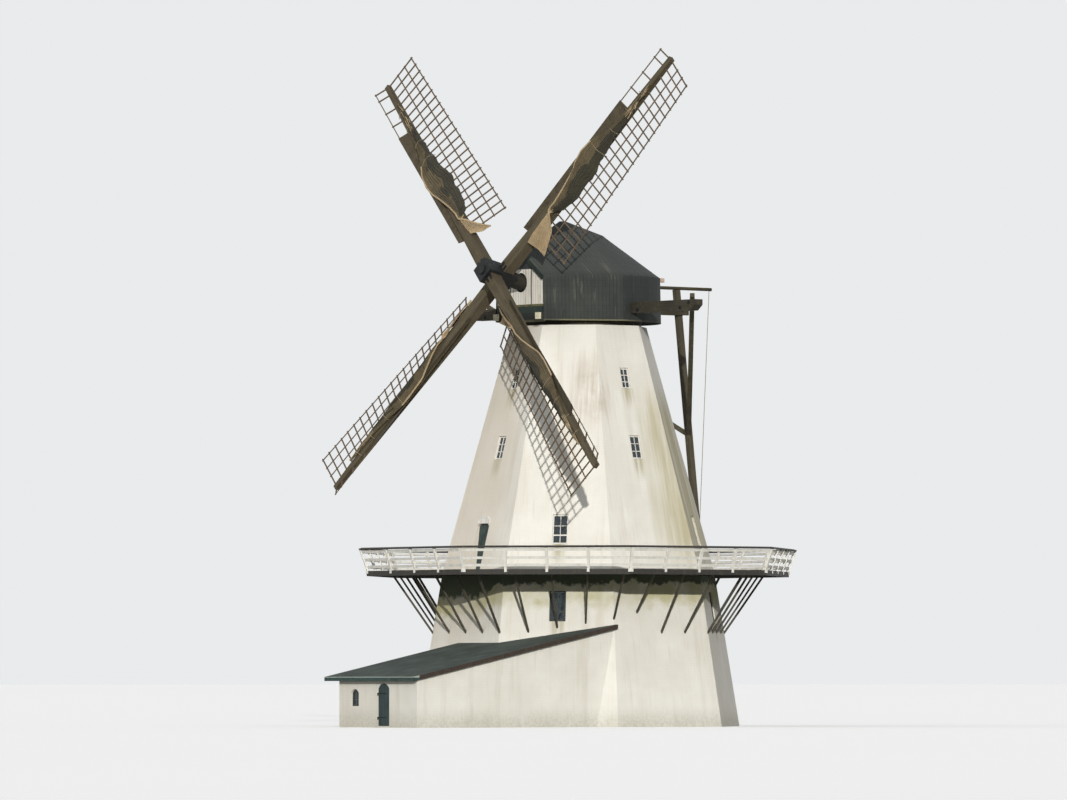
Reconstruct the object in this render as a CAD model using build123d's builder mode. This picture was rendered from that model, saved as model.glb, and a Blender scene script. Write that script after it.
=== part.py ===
from build123d import *
from math import cos, radians, sin, sqrt, tan
import os

os.makedirs("parts", exist_ok=True)

# A stage windmill: an octagonal masonry tower with a gallery, a turning boarded cap with a
# tail frame, four lattice sails, and a low lean-to against the foot of the tower.
# Millimetres, +Z up, origin on the ground at the middle of the tower. The sails face -Y.

# Fits
SEAT = 0.3
DOOR_GAP = 9.0
SLIT = 4.0

# Tower
SIDES = 8
TOWER_TURN = -4.8
GROUND_RADIUS = 6370.0
DECK_RADIUS = 5370.0
TOP_RADIUS = 2680.0
DECK_HEIGHT = 5950.0
TOWER_HEIGHT = 15350.0
GROUND_WALL = 700.0
DECK_WALL = 600.0
TOP_WALL = 400.0
HALF_SIDE_ANGLE = radians(180.0 / SIDES)
APOTHEM = cos(HALF_SIDE_ANGLE)

# Floors, by the height of their upper face
FLOOR_THICKNESS = 60.0
FLOOR_LEVELS = [FLOOR_THICKNESS, 3000.0, DECK_HEIGHT, TOWER_HEIGHT - 6150.0, TOWER_HEIGHT - 3350.0]

# Curb that the cap turns on
CURB_OUTER_RADIUS = 2400.0
CURB_INNER_RADIUS = 2080.0
CURB_HEIGHT = 200.0

# Windows: width, sill height, head height
LOWER_WINDOW = (630.0, 4000.0, 5150.0)
STAGE_WINDOW = (600.0, 6930.0, 8060.0)
MIDDLE_WINDOW = (490.0, TOWER_HEIGHT - 5150.0, TOWER_HEIGHT - 4250.0)
UPPER_WINDOW = (400.0, TOWER_HEIGHT - 2450.0, TOWER_HEIGHT - 1650.0)
WINDOW_RECESS = 80.0
FRAME_WIDTH = 60.0
FRAME_DEPTH = 70.0
PANE_THICKNESS = 8.0

# Doors from the tower to the gallery
STAGE_DOOR_WIDTH = 760.0
STAGE_DOOR_SPRING = 1700.0
STAGE_DOOR_RISE = 150.0
STAGE_DOOR_THICKNESS = 50.0
STAGE_DOOR_RECESS = 70.0

# Gallery
GALLERY_RADIUS = 8350.0
BAYS = 4
DECK_THICKNESS = 45.0
JOIST_WIDTH = 100.0
JOIST_DEPTH = 150.0
RIM_WIDTH = 50.0
RIM_DEPTH = 200.0
STRUT_SIZE = 70.0
STRUT_FOOT_HEIGHT = 3600.0
STRUT_REACH = 1750.0
STRUT_ROOF_GAP = 250.0
POST_SIZE = 100.0
POST_SETBACK = 60.0
RAIL_RAKE = 19.0
POST_HEIGHT = 870.0
RAIL_LEVELS = [160.0, 450.0, 770.0]
RAIL_DEPTH = 95.0
RAIL_THICKNESS = 45.0
HANDRAIL_WIDTH = 130.0
HANDRAIL_DEPTH = 45.0

# Lean-to, in the tower's own turned axes: x across it, y away from its eave
ANNEX_EAVE_Y = -11300.0
ANNEX_FAR_X = 200.0
ANNEX_NEAR_X = 5300.0
ANNEX_WALL = 300.0
ANNEX_FLOOR = 60.0
ROOF_SLOPE = 0.21
ROOF_EAVE_HEIGHT = 1900.0
ROOF_EAVE_OVERHANG = 250.0
ROOF_FAR_OVERHANG = 600.0
ROOF_NEAR_OVERHANG = 150.0
ROOF_THICKNESS = 110.0
ROOF_TOP_Y = -2150.0
TRIM_THICKNESS = 25.0
TRIM_DEPTH = 160.0
ANNEX_DOOR_X = 3140.0
ANNEX_DOOR_WIDTH = 710.0
ANNEX_DOOR_SPRING = 1460.0
ANNEX_DOOR_RISE = 200.0
ANNEX_DOOR_THICKNESS = 45.0
ANNEX_WINDOW_X = 1230.0
ANNEX_WINDOW_WIDTH = 520.0
ANNEX_WINDOW_SILL = 800.0
ANNEX_WINDOW_SPRING = 1290.0
ANNEX_WINDOW_RISE = 150.0
HINGE_LEVELS = [350.0, 1250.0]
HINGE_PIN_RADIUS = 9.0
HINGE_EYE_RADIUS = 20.0
HINGE_STRAP_HEIGHT = 50.0
HINGE_STRAP_THICKNESS = 8.0
HINGE_STRAP_LENGTH = 520.0
HINGE_EYE_GAP = 6.0
HINGE_PLATE_WIDTH = 60.0
HINGE_PLATE_HEIGHT = 60.0
HINGE_SHELF = 14.0
HINGE_SHELF_MARGIN = 2.0

# Cap timbers
SHEER_X = 1240.0
SHEER_WIDTH = 240.0
SHEER_HEIGHT = 250.0
SHEER_FRONT_Y = -3180.0
SHEER_REAR_Y = 2700.0
CROSSBEAM_Y = 300.0
CROSSBEAM_WIDTH = 400.0
CROSSBEAM_HEIGHT = 420.0
CROSSBEAM_HALF_LENGTH = 6600.0
CROSSBEAM_END_CUT = 260.0
WEATHER_BEAM_WIDTH = 380.0
WEATHER_BEAM_HEIGHT = 560.0
WEATHER_BEAM_HALF_LENGTH = 1500.0
REAR_TIE_Y = 2400.0
REAR_TIE_WIDTH = 200.0
REAR_TIE_HALF_LENGTH = 1680.0
SILL_BEAM_HALF_LENGTH = 1340.0
SILL_BEAM_WIDTH = 180.0
SILL_BEAM_HEIGHT = 330.0
APRON_THICKNESS = 30.0
APRON_DROP = 330.0
APRON_SETBACK = 320.0

# Cap boarding, as level outlines: height above the tower, front y, front half width,
# shoulder y, shoulder half width, rear y
CAP_OUTLINES = [
    (150.0, -3000.0, 1420.0, -300.0, 2930.0, 3400.0),
    (1900.0, -3000.0, 1360.0, -300.0, 2900.0, 3360.0),
    (2850.0, -2950.0, 70.0, -400.0, 1640.0, 2070.0),
    (3550.0, -1760.0, 60.0, -600.0, 690.0, 1110.0),
    (4050.0, -960.0, 50.0, -860.0, 60.0, -660.0),
]
CAP_BOARD = 40.0
GABLE_THICKNESS = 40.0
GABLE_RECESS = 60.0
GABLE_SHAFT_GAP = 60.0
CAP_FRONT_Y = CAP_OUTLINES[0][1]
CAP_WALL_TOP = TOWER_HEIGHT + CAP_OUTLINES[1][0]
CAP_GABLE_TOP = TOWER_HEIGHT + CAP_OUTLINES[2][0]
VERGE_THICKNESS = 40.0
VERGE_DEPTH = 170.0
VERGE_OVERHANG = 80.0
VERGE_FOOT_DROP = 60.0

# Tail
TAIL_BEAM_WIDTH = 120.0
TAIL_BEAM_HEIGHT = 350.0
TAIL_BEAM_DROP = 150.0
TAIL_BEAM_END_Y = 5450.0
TAIL_POLE_SIZE = 220.0
TAIL_POLE_TOP_Y = 5000.0
TAIL_POLE_FOOT_Y = 6200.0
TAIL_POLE_FOOT_HEIGHT = DECK_HEIGHT + 450.0
BRACE_SIZE = 180.0
BRACE_HEAD_X = 6080.0
BRACE_HEAD_Y = 440.0
BRACE_HEAD_HEIGHT = TOWER_HEIGHT + 1050.0
BRACE_FOOT_HEIGHT = TOWER_HEIGHT - 4050.0
LEVER_RADIUS = 65.0
LEVER_HEIGHT = TOWER_HEIGHT + 1650.0
LEVER_INNER_Y = 2500.0
LEVER_OUTER_Y = 6800.0
ROPE_RADIUS = 12.0
ROPE_INSET = 100.0
ROPE_FOOT_HEIGHT = DECK_HEIGHT + 1750.0
CLEAT_LENGTH = 260.0
CLEAT_WIDTH = 60.0
CLEAT_DEPTH = 70.0

# Windshaft and hub, with distances along the shaft from where it crosses the tower's axis
SHAFT_TILT = 12.8
SHAFT_AXIS_HEIGHT = TOWER_HEIGHT + 960.0
SHAFT_RADIUS = 300.0
NECK_RADIUS = 260.0
NECK_START = 2250.0
NECK_LENGTH = 350.0
COLLAR_RADIUS = 340.0
COLLAR_LENGTH = 80.0
GUDGEON_RADIUS = 110.0
GUDGEON_LENGTH = 220.0
NECK_BLOCK_WIDTH = 640.0
NECK_BLOCK_SETBACK = 20.0
TAIL_BLOCK_WIDTH = 460.0
TAIL_BLOCK_BELOW = 380.0
TAIL_BLOCK_ABOVE = 150.0
TAIL_BLOCK_BEHIND = 120.0
HUB_START = 3600.0
HUB_SIZE = 700.0
HUB_FRONT_CAP = 160.0
HUB_BOSS_RADIUS = 190.0
HUB_BOSS_LENGTH = 70.0
INNER_STOCK_PLACE = 4000.0
STOCK_SPACING = 615.0

# Sails
INNER_STOCK_ANGLE = 43.5
STOCK_LENGTH = 22600.0
STOCK_WIDTH = 450.0
STOCK_DEPTH = 480.0
STOCK_TIP_WIDTH = 205.0
STOCK_TIP_DEPTH = 180.0
STOCK_STRAIGHT = 380.0
BAR_COUNT = 24
BAR_PITCH = 387.0
BAR_WIDTH = 45.0
BAR_DEPTH = 40.0
FIRST_BAR_BELOW_TIP = 70.0
BAR_END_X = 1640.0
LATH_PLACES = [660.0, 1120.0, 1580.0]
LATH_WIDTH = 50.0
LATH_DEPTH = 22.0
LATH_OVERRUN = 60.0
HEEL_WEATHER = 23.0
LEADING_LIFT = 70.0
LEADING_HEEL_TILT = 45.0
LEADING_TIP_TILT = 28.0
LEADING_HEEL_EDGE = 420.0
LEADING_TIP_EDGE = 540.0
BOARD_THICKNESS = 25.0
BOARD_HEEL = 2100.0
BOARD_TIP = 8600.0
LADDER_BARS = [0, 1, 3, 5]
LADDER_LATH_WIDTH = 40.0
CLOTH_HEEL = 2350.0
CLOTH_TIP = 10000.0
CLOTH_HEEL_RADIUS = 150.0
CLOTH_TIP_RADIUS = 75.0
CLOTH_GAP = 12.0

# Places worked out from the sizes above
REACH = 2 * GALLERY_RADIUS
CAP_BASE = TOWER_HEIGHT + CURB_HEIGHT + SEAT
SHEER_TOP = CAP_BASE + SHEER_HEIGHT
CROSSBEAM_TOP = SHEER_TOP + CROSSBEAM_HEIGHT
CROSSBEAM_FRONT = CROSSBEAM_Y - CROSSBEAM_WIDTH / 2
CROSSBEAM_REAR = CROSSBEAM_Y + CROSSBEAM_WIDTH / 2
TAIL_BEAM_BASE = SHEER_TOP + TAIL_BEAM_DROP
TAIL_POLE_TOP = LEVER_HEIGHT - LEVER_RADIUS - SEAT
GABLE_FACE_Y = CAP_FRONT_Y + GABLE_RECESS
VERGE_FOOT_X = CAP_OUTLINES[1][2] + VERGE_OVERHANG
VERGE_FOOT_HEIGHT = CAP_WALL_TOP - VERGE_FOOT_DROP
SILL_BEAM_TOP = SHEER_TOP + SILL_BEAM_HEIGHT
OUTER_STOCK_PLACE = INNER_STOCK_PLACE + STOCK_SPACING
HUB_LENGTH = OUTER_STOCK_PLACE + STOCK_DEPTH / 2 + HUB_FRONT_CAP - HUB_START
SAIL_RADIUS = STOCK_LENGTH / 2
TIP_BAR_RADIUS = SAIL_RADIUS - FIRST_BAR_BELOW_TIP
HEEL_BAR_RADIUS = TIP_BAR_RADIUS - (BAR_COUNT - 1) * BAR_PITCH
HEEL_SLOPE = tan(radians(HEEL_WEATHER))
SHAFT_FORWARD = Vector(0, -cos(radians(SHAFT_TILT)), sin(radians(SHAFT_TILT)))
SHAFT_PLANE = Plane(origin=(0, 0, SHAFT_AXIS_HEIGHT), x_dir=(1, 0, 0), z_dir=SHAFT_FORWARD)
ROOF_EAVE_Y = ANNEX_EAVE_Y - ROOF_EAVE_OVERHANG
ROOF_FAR_X = ANNEX_FAR_X - ROOF_FAR_OVERHANG
ROOF_NEAR_X = ANNEX_NEAR_X + ROOF_NEAR_OVERHANG
ROOF_DROP = ROOF_THICKNESS * sqrt(1 + ROOF_SLOPE**2)
INNER_EAVE_Y = ANNEX_EAVE_Y + ANNEX_WALL
DOOR_LEFT_X = ANNEX_DOOR_X - ANNEX_DOOR_WIDTH / 2
DOOR_RIGHT_X = ANNEX_DOOR_X + ANNEX_DOOR_WIDTH / 2


def save(piece, name):
    """Labels one finished piece and writes its STEP file."""
    piece.part.label = name
    export_step(piece.part, f"parts/{name}.step")


def level(height):
    """A level plane of the tower, turned with its octagon."""
    return Plane.XY.rotated((0, 0, TOWER_TURN)).offset(height)


def side_plane(side, height=0.0):
    """A level plane with its x axis along the outward normal of one side of the octagon."""
    return Plane.XY.rotated((0, 0, TOWER_TURN + side * 360.0 / SIDES)).offset(height)


def upright(side, distance):
    """An upright plane that faces outwards from one side: x along the wall, y up."""
    base = side_plane(side)
    return Plane(origin=base.x_dir * distance, x_dir=base.y_dir, z_dir=base.x_dir)


def tower_radius(height):
    """Outer corner radius of the tower at a height."""
    if height <= DECK_HEIGHT:
        return GROUND_RADIUS + (DECK_RADIUS - GROUND_RADIUS) * height / DECK_HEIGHT
    share = (height - DECK_HEIGHT) / (TOWER_HEIGHT - DECK_HEIGHT)
    return DECK_RADIUS + (TOP_RADIUS - DECK_RADIUS) * share


def wall_thickness(height):
    """Thickness of the tower's wall at a height."""
    if height <= DECK_HEIGHT:
        return GROUND_WALL + (DECK_WALL - GROUND_WALL) * height / DECK_HEIGHT
    share = (height - DECK_HEIGHT) / (TOWER_HEIGHT - DECK_HEIGHT)
    return DECK_WALL + (TOP_WALL - DECK_WALL) * share


def face_distance(height):
    """Distance from the tower's axis to the outer face of a side."""
    return tower_radius(height) * APOTHEM


def wall_outline(side, height):
    """Level section of one side's wall, mitred at the corners of the octagon."""
    outer = face_distance(height)
    inner = outer - wall_thickness(height)
    slope = tan(HALF_SIDE_ANGLE)
    with BuildSketch(side_plane(side, height)) as outline:
        Polygon(
            (inner, -inner * slope),
            (outer, -outer * slope),
            (outer, outer * slope),
            (inner, inner * slope),
            align=None,
        )
    return outline.sketch


def arch_outline(width, base, spring, rise, inset=0.0):
    """Outline of an opening with upright sides and an arched head, drawn inset by a margin."""
    radius = (width**2 / 4 + rise**2) / (2 * rise) - inset
    half = width / 2 - inset
    crown = spring + rise - inset
    shoulder = crown - radius + sqrt(radius**2 - half**2)
    with BuildSketch() as outline:
        with BuildLine():
            Polyline((-half, shoulder), (-half, base + inset), (half, base + inset), (half, shoulder))
            ThreePointArc((half, shoulder), (0, crown), (-half, shoulder))
        make_face()
    return outline.sketch


def tower_windows(side):
    """The windows of one side: square-on sides carry the upper two rows."""
    if side % 2:
        return [LOWER_WINDOW, STAGE_WINDOW]
    return [MIDDLE_WINDOW, UPPER_WINDOW]


def has_stage_door(side):
    """The sides towards the sails and away from them have a door to the gallery."""
    return side in (2, 6)


def window_plane_distance(window):
    """How far out a window's frame stands, set back from the wall face at its head."""
    return face_distance(window[2]) - WINDOW_RECESS


# Walls of one stage of the tower, every second side of the octagon
def stage_walls(base, top, sides):
    with BuildPart() as walls:
        for side in sides:
            add(wall_outline(side, base))
            add(wall_outline(side, top))
            loft(ruled=True)
        for side in sides:
            for width, sill, head in tower_windows(side):
                if base < sill < top:
                    with BuildSketch(upright(side, 0)):
                        with Locations((0, (sill + head) / 2)):
                            Rectangle(width, head - sill)
                    extrude(amount=REACH, mode=Mode.SUBTRACT)
            if base == DECK_HEIGHT and has_stage_door(side):
                with BuildSketch(upright(side, 0)):
                    add(arch_outline(STAGE_DOOR_WIDTH, base, base + STAGE_DOOR_SPRING, STAGE_DOOR_RISE))
                extrude(amount=REACH, mode=Mode.SUBTRACT)
    return walls


SQUARE_SIDES = [0, 2, 4, 6]
CORNER_SIDES = [1, 3, 5, 7]
save(stage_walls(0, DECK_HEIGHT, SQUARE_SIDES), "base_walls_square")
save(stage_walls(0, DECK_HEIGHT, CORNER_SIDES), "base_walls_diagonal")
save(stage_walls(DECK_HEIGHT, TOWER_HEIGHT, SQUARE_SIDES), "upper_walls_square")
save(stage_walls(DECK_HEIGHT, TOWER_HEIGHT, CORNER_SIDES), "upper_walls_diagonal")

# Floors, each cut to the taper of the room
with BuildPart() as floors:
    for top in FLOOR_LEVELS:
        for height in (top - FLOOR_THICKNESS, top):
            room = face_distance(height) - wall_thickness(height) - SEAT
            with BuildSketch(level(height)):
                RegularPolygon(room, SIDES, major_radius=False, rotation=180.0 / SIDES)
        loft(ruled=True)
save(floors, "tower_floors")

# Curb ring on the wall head
with BuildPart() as curb:
    with BuildSketch(level(TOWER_HEIGHT)):
        Circle(CURB_OUTER_RADIUS)
        Circle(CURB_INNER_RADIUS, mode=Mode.SUBTRACT)
    extrude(amount=CURB_HEIGHT)
save(curb, "curb_ring")

# Window frames and panes: upright in the sloping wall, so the reveal deepens to the sill
PANE_SETBACK = (FRAME_DEPTH + PANE_THICKNESS) / 2
PANE_INSET = FRAME_WIDTH + SEAT


def eave_plane(x, depth=0.0):
    """An upright plane on the lean-to's eave wall, facing out, about one place along it."""
    face = upright(6, -ANNEX_EAVE_Y - depth)
    return Plane(origin=face.origin + face.x_dir * x, x_dir=face.x_dir, z_dir=face.z_dir)


def annex_window_outline(inset):
    """The lean-to's small arched window, drawn inset by a margin."""
    return arch_outline(
        ANNEX_WINDOW_WIDTH, ANNEX_WINDOW_SILL, ANNEX_WINDOW_SPRING, ANNEX_WINDOW_RISE, inset
    )


with BuildPart() as window_frames:
    for side in range(SIDES):
        for window in tower_windows(side):
            width, sill, head = window
            with BuildSketch(upright(side, window_plane_distance(window))):
                with Locations((0, (sill + head) / 2)):
                    Rectangle(width - 2 * SEAT, head - sill - 2 * SEAT)
                    Rectangle(width - 2 * FRAME_WIDTH, head - sill - 2 * FRAME_WIDTH, mode=Mode.SUBTRACT)
            extrude(amount=-FRAME_DEPTH)
    with BuildSketch(eave_plane(ANNEX_WINDOW_X, WINDOW_RECESS)):
        add(annex_window_outline(SEAT))
        add(annex_window_outline(FRAME_WIDTH), mode=Mode.SUBTRACT)
    extrude(amount=-FRAME_DEPTH)
save(window_frames, "window_frames")

with BuildPart() as window_panes:
    for side in range(SIDES):
        for window in tower_windows(side):
            width, sill, head = window
            with BuildSketch(upright(side, window_plane_distance(window) - PANE_SETBACK)):
                with Locations((0, (sill + head) / 2)):
                    Rectangle(width - 2 * PANE_INSET, head - sill - 2 * PANE_INSET)
            extrude(amount=PANE_THICKNESS)
    with BuildSketch(eave_plane(ANNEX_WINDOW_X, WINDOW_RECESS + PANE_SETBACK)):
        add(annex_window_outline(PANE_INSET))
    extrude(amount=PANE_THICKNESS)
save(window_panes, "window_panes")

# Plank doors to the gallery
with BuildPart() as gallery_doors:
    door_head = DECK_HEIGHT + STAGE_DOOR_SPRING + STAGE_DOOR_RISE
    for side in range(SIDES):
        if has_stage_door(side):
            with BuildSketch(upright(side, face_distance(door_head) - STAGE_DOOR_RECESS)):
                add(arch_outline(
                    STAGE_DOOR_WIDTH, DECK_HEIGHT, DECK_HEIGHT + STAGE_DOOR_SPRING, STAGE_DOOR_RISE, SEAT
                ))
            extrude(amount=-STAGE_DOOR_THICKNESS)
save(gallery_doors, "gallery_doors")

# Gallery, from the joists up
RIM_FACE = GALLERY_RADIUS * APOTHEM
DECK_EDGE = RIM_FACE - RIM_WIDTH - SEAT
DECK_BASE = DECK_HEIGHT - DECK_THICKNESS
JOIST_BASE = DECK_BASE - JOIST_DEPTH
POST_FOOT = RIM_FACE - POST_SETBACK
SIDE_SLOPE = tan(HALF_SIDE_ANGLE)
RAKE = radians(RAIL_RAKE)
JOIST_ROOT = 200.0


def tower_outline(height):
    """Level octagon just outside the tower's face, for cutting pieces back to the wall."""
    with BuildSketch(level(height)) as outline:
        RegularPolygon(face_distance(height) + SEAT, SIDES, major_radius=False, rotation=180.0 / SIDES)
    return outline.sketch


def side_strip(side, height, inner, outer, slit):
    """Level strip along one side between two distances, mitred with a slit at its ends."""
    trim = slit / 2 / APOTHEM
    with BuildSketch(side_plane(side, height)) as strip:
        Polygon(
            (inner, -inner * SIDE_SLOPE + trim),
            (outer, -outer * SIDE_SLOPE + trim),
            (outer, outer * SIDE_SLOPE - trim),
            (inner, inner * SIDE_SLOPE - trim),
            align=None,
        )
    return strip.sketch


def place_on_side(side, distance, share, height):
    """A point on one side of an octagon, at a share of the way along it."""
    along_side = (2 * share - 1) * distance * SIDE_SLOPE
    return side_plane(side, height).from_local_coords((distance, along_side, 0))


def square_to(start, end):
    """A plane at the start of a timber, square to its run, with its x axis level."""
    run = Vector(*end) - Vector(*start)
    return Plane(origin=start, x_dir=Vector(0, 0, 1).cross(run), z_dir=run)


def roof_height(y):
    """Upper face of the lean-to's roof."""
    return ROOF_EAVE_HEIGHT + ROOF_SLOPE * (y - ROOF_EAVE_Y)


def strut_foot_height(side, share):
    """Struts stand on the wall at one height, or just over the lean-to's roof."""
    foot = level(0).to_local_coords(place_on_side(side, face_distance(STRUT_FOOT_HEIGHT), share, 0))
    if ROOF_FAR_X < foot.X < ROOF_NEAR_X and foot.Y < 0:
        return max(STRUT_FOOT_HEIGHT, roof_height(foot.Y) + STRUT_ROOF_GAP)
    return STRUT_FOOT_HEIGHT


with BuildPart() as gallery_deck:
    for side in range(SIDES):
        add(side_strip(side, DECK_BASE, face_distance(DECK_BASE) + SEAT, DECK_EDGE, SLIT))
    extrude(amount=DECK_THICKNESS)
save(gallery_deck, "gallery_deck")

with BuildPart() as gallery_rim:
    for side in range(SIDES):
        add(side_strip(side, DECK_HEIGHT - RIM_DEPTH, RIM_FACE - RIM_WIDTH, RIM_FACE, SLIT))
    extrude(amount=RIM_DEPTH)
save(gallery_rim, "gallery_rim")

with BuildPart() as gallery_joists:
    wall = face_distance(JOIST_BASE) + SEAT
    with BuildSketch(level(JOIST_BASE)):
        for side in range(SIDES):
            for bay in range(BAYS):
                root = level(0).to_local_coords(place_on_side(side, wall - JOIST_ROOT, bay / BAYS, 0))
                end = level(0).to_local_coords(place_on_side(side, GALLERY_RADIUS, bay / BAYS, 0))
                across = Vector(0, 0, 1).cross(end - root).normalized() * (JOIST_WIDTH / 2)
                Polygon(root - across, end - across, end + across, root + across, align=None)
        RegularPolygon(
            DECK_EDGE, SIDES, major_radius=False, rotation=180.0 / SIDES, mode=Mode.INTERSECT
        )
        RegularPolygon(wall, SIDES, major_radius=False, rotation=180.0 / SIDES, mode=Mode.SUBTRACT)
    extrude(amount=JOIST_DEPTH - SEAT)
save(gallery_joists, "gallery_joists")

def gallery_strut(side, share):
    """A raking strut from the wall to a joist, run on past both."""
    foot_height = strut_foot_height(side, share)
    foot = place_on_side(side, face_distance(foot_height), share, foot_height)
    head = place_on_side(side, face_distance(JOIST_BASE) + STRUT_REACH, share, JOIST_BASE)
    run = (head - foot).normalized() * JOIST_ROOT
    with BuildPart() as strut:
        with BuildSketch(square_to(foot - run, head + run)):
            Rectangle(STRUT_SIZE, STRUT_SIZE)
        extrude(amount=(head - foot).length + 2 * JOIST_ROOT)
    return strut.part


with BuildPart() as gallery_struts:
    add([gallery_strut(side, bay / BAYS) for side in range(SIDES) for bay in range(BAYS)])
    with BuildSketch(level(0)):
        Circle(GALLERY_RADIUS)
    extrude(amount=JOIST_BASE - 2 * SEAT, mode=Mode.INTERSECT)
    add(tower_outline(0))
    add(tower_outline(DECK_HEIGHT))
    loft(ruled=True, mode=Mode.SUBTRACT)
save(gallery_struts, "gallery_struts")


def rail_plane(side):
    """The raked plane of one side's railing: x along the side, y up the rake."""
    foot = side_plane(side, DECK_HEIGHT)
    outward = foot.x_dir * cos(RAKE) - Vector(0, 0, 1) * sin(RAKE)
    return Plane(origin=foot.from_local_coords((POST_FOOT, 0, 0)), x_dir=foot.y_dir, z_dir=outward)


def corner_posts(size):
    """Posts on the corners of the gallery, leaning out, level at the foot."""
    with BuildPart() as posts:
        for side in range(SIDES):
            corner = Plane.XY.rotated((0, 0, TOWER_TURN + (side - 0.5) * 360.0 / SIDES))
            foot = corner.offset(DECK_HEIGHT + SEAT).from_local_coords((POST_FOOT / APOTHEM, 0, 0))
            lean = corner.x_dir * tan(RAKE) / APOTHEM + Vector(0, 0, 1)
            with BuildSketch(Plane(origin=foot, x_dir=corner.x_dir, z_dir=(0, 0, 1))):
                Rectangle(size, size)
            extrude(amount=POST_HEIGHT * lean.length, dir=lean)
        for side in range(SIDES):
            raked = rail_plane(side)
            top = raked.from_local_coords((0, POST_HEIGHT, 0))
            with BuildSketch(Plane(origin=top, x_dir=raked.x_dir, z_dir=raked.y_dir)):
                Rectangle(2 * GALLERY_RADIUS * SIDE_SLOPE, 6 * size)
            extrude(amount=POST_HEIGHT, mode=Mode.SUBTRACT)
    return posts


save(corner_posts(POST_SIZE), "gallery_corner_posts")
CORNER_CUT = corner_posts(POST_SIZE + 2 * SEAT).part


def railing_panels(sides):
    """Raked railing of some sides: posts and rails between the corner posts."""
    with BuildPart() as panels:
        for side in sides:
            raked = rail_plane(side)
            spacing = 2 * POST_FOOT * SIDE_SLOPE / BAYS
            with BuildSketch(raked):
                with Locations((0, POST_HEIGHT / 2)):
                    with GridLocations(spacing, 0, BAYS - 1, 1):
                        Rectangle(POST_SIZE, POST_HEIGHT + POST_SIZE)
                with Locations((0, POST_HEIGHT + POST_SIZE / 2)):
                    Rectangle(REACH, POST_SIZE, mode=Mode.SUBTRACT)
            extrude(amount=POST_SIZE / 2, both=True)
            with BuildSketch(raked):
                with Locations(*[(0, rail) for rail in RAIL_LEVELS]):
                    Rectangle(GALLERY_RADIUS, RAIL_DEPTH)
            extrude(amount=RAIL_THICKNESS / 2, both=True)
        for side in sides:
            add(side_strip(side, DECK_HEIGHT + SEAT, RIM_FACE / 2, 2 * RIM_FACE, SLIT))
        extrude(amount=2 * POST_HEIGHT, mode=Mode.INTERSECT)
        add(CORNER_CUT, mode=Mode.SUBTRACT)
    return panels


save(railing_panels(SQUARE_SIDES), "gallery_railing_square")
save(railing_panels(CORNER_SIDES), "gallery_railing_diagonal")


def handrails(sides):
    """Capping boards on the raked railing of some sides."""
    with BuildPart() as rails:
        for side in sides:
            with BuildSketch(rail_plane(side)):
                with Locations((0, POST_HEIGHT + SEAT + HANDRAIL_DEPTH / 2)):
                    Rectangle(GALLERY_RADIUS, HANDRAIL_DEPTH)
        extrude(amount=HANDRAIL_WIDTH / 2, both=True)
        for side in sides:
            add(side_strip(side, DECK_HEIGHT, RIM_FACE / 2, 2 * RIM_FACE, SLIT))
        extrude(amount=2 * POST_HEIGHT, mode=Mode.INTERSECT)
    return rails.part


with BuildPart() as gallery_handrails:
    add(handrails(SQUARE_SIDES))
    add(handrails(CORNER_SIDES))
save(gallery_handrails, "gallery_handrails")


# Lean-to against the foot of the tower
def roof_under(y):
    """Underside of the lean-to's roof."""
    return roof_height(y) - ROOF_DROP


def rectangle_between(left, right, bottom, top):
    """A rectangle in the sketch at hand, by its edges."""
    with Locations(((left + right) / 2, (bottom + top) / 2)):
        Rectangle(right - left, top - bottom)


def wall_profile(front, back, base):
    """A wall's side profile, which rises to just under the sloping roof."""
    Polygon(
        (front, base),
        (back, base),
        (back, roof_under(back) - SEAT),
        (front, roof_under(front) - SEAT),
        align=None,
    )


def roof_profile(depth):
    """Side profile of a layer that lies level with the top of the roof."""
    Polygon(
        (ROOF_EAVE_Y, roof_height(ROOF_EAVE_Y) - depth),
        (ROOF_TOP_Y, roof_height(ROOF_TOP_Y) - depth),
        (ROOF_TOP_Y, roof_height(ROOF_TOP_Y)),
        (ROOF_EAVE_Y, roof_height(ROOF_EAVE_Y)),
        align=None,
    )


with BuildPart() as annex_front_walls:
    with BuildSketch(upright(0, ANNEX_FAR_X)):
        wall_profile(ANNEX_EAVE_Y, INNER_EAVE_Y, 0)
    extrude(amount=DOOR_LEFT_X - ANNEX_FAR_X)
    with BuildSketch(upright(0, DOOR_RIGHT_X)):
        wall_profile(ANNEX_EAVE_Y, INNER_EAVE_Y, 0)
    extrude(amount=ANNEX_NEAR_X - DOOR_RIGHT_X)
    with BuildSketch(eave_plane(ANNEX_WINDOW_X)):
        add(annex_window_outline(0))
    extrude(amount=-ANNEX_WALL, mode=Mode.SUBTRACT)
save(annex_front_walls, "annex_front_walls")

with BuildPart() as annex_lintel:
    with BuildSketch(upright(0, DOOR_LEFT_X)):
        wall_profile(ANNEX_EAVE_Y, INNER_EAVE_Y, ANNEX_DOOR_SPRING)
    extrude(amount=ANNEX_DOOR_WIDTH)
    with BuildSketch(eave_plane(ANNEX_DOOR_X)):
        add(arch_outline(ANNEX_DOOR_WIDTH, 0, ANNEX_DOOR_SPRING, ANNEX_DOOR_RISE))
    extrude(amount=-ANNEX_WALL, mode=Mode.SUBTRACT)
save(annex_lintel, "annex_door_lintel")

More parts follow.
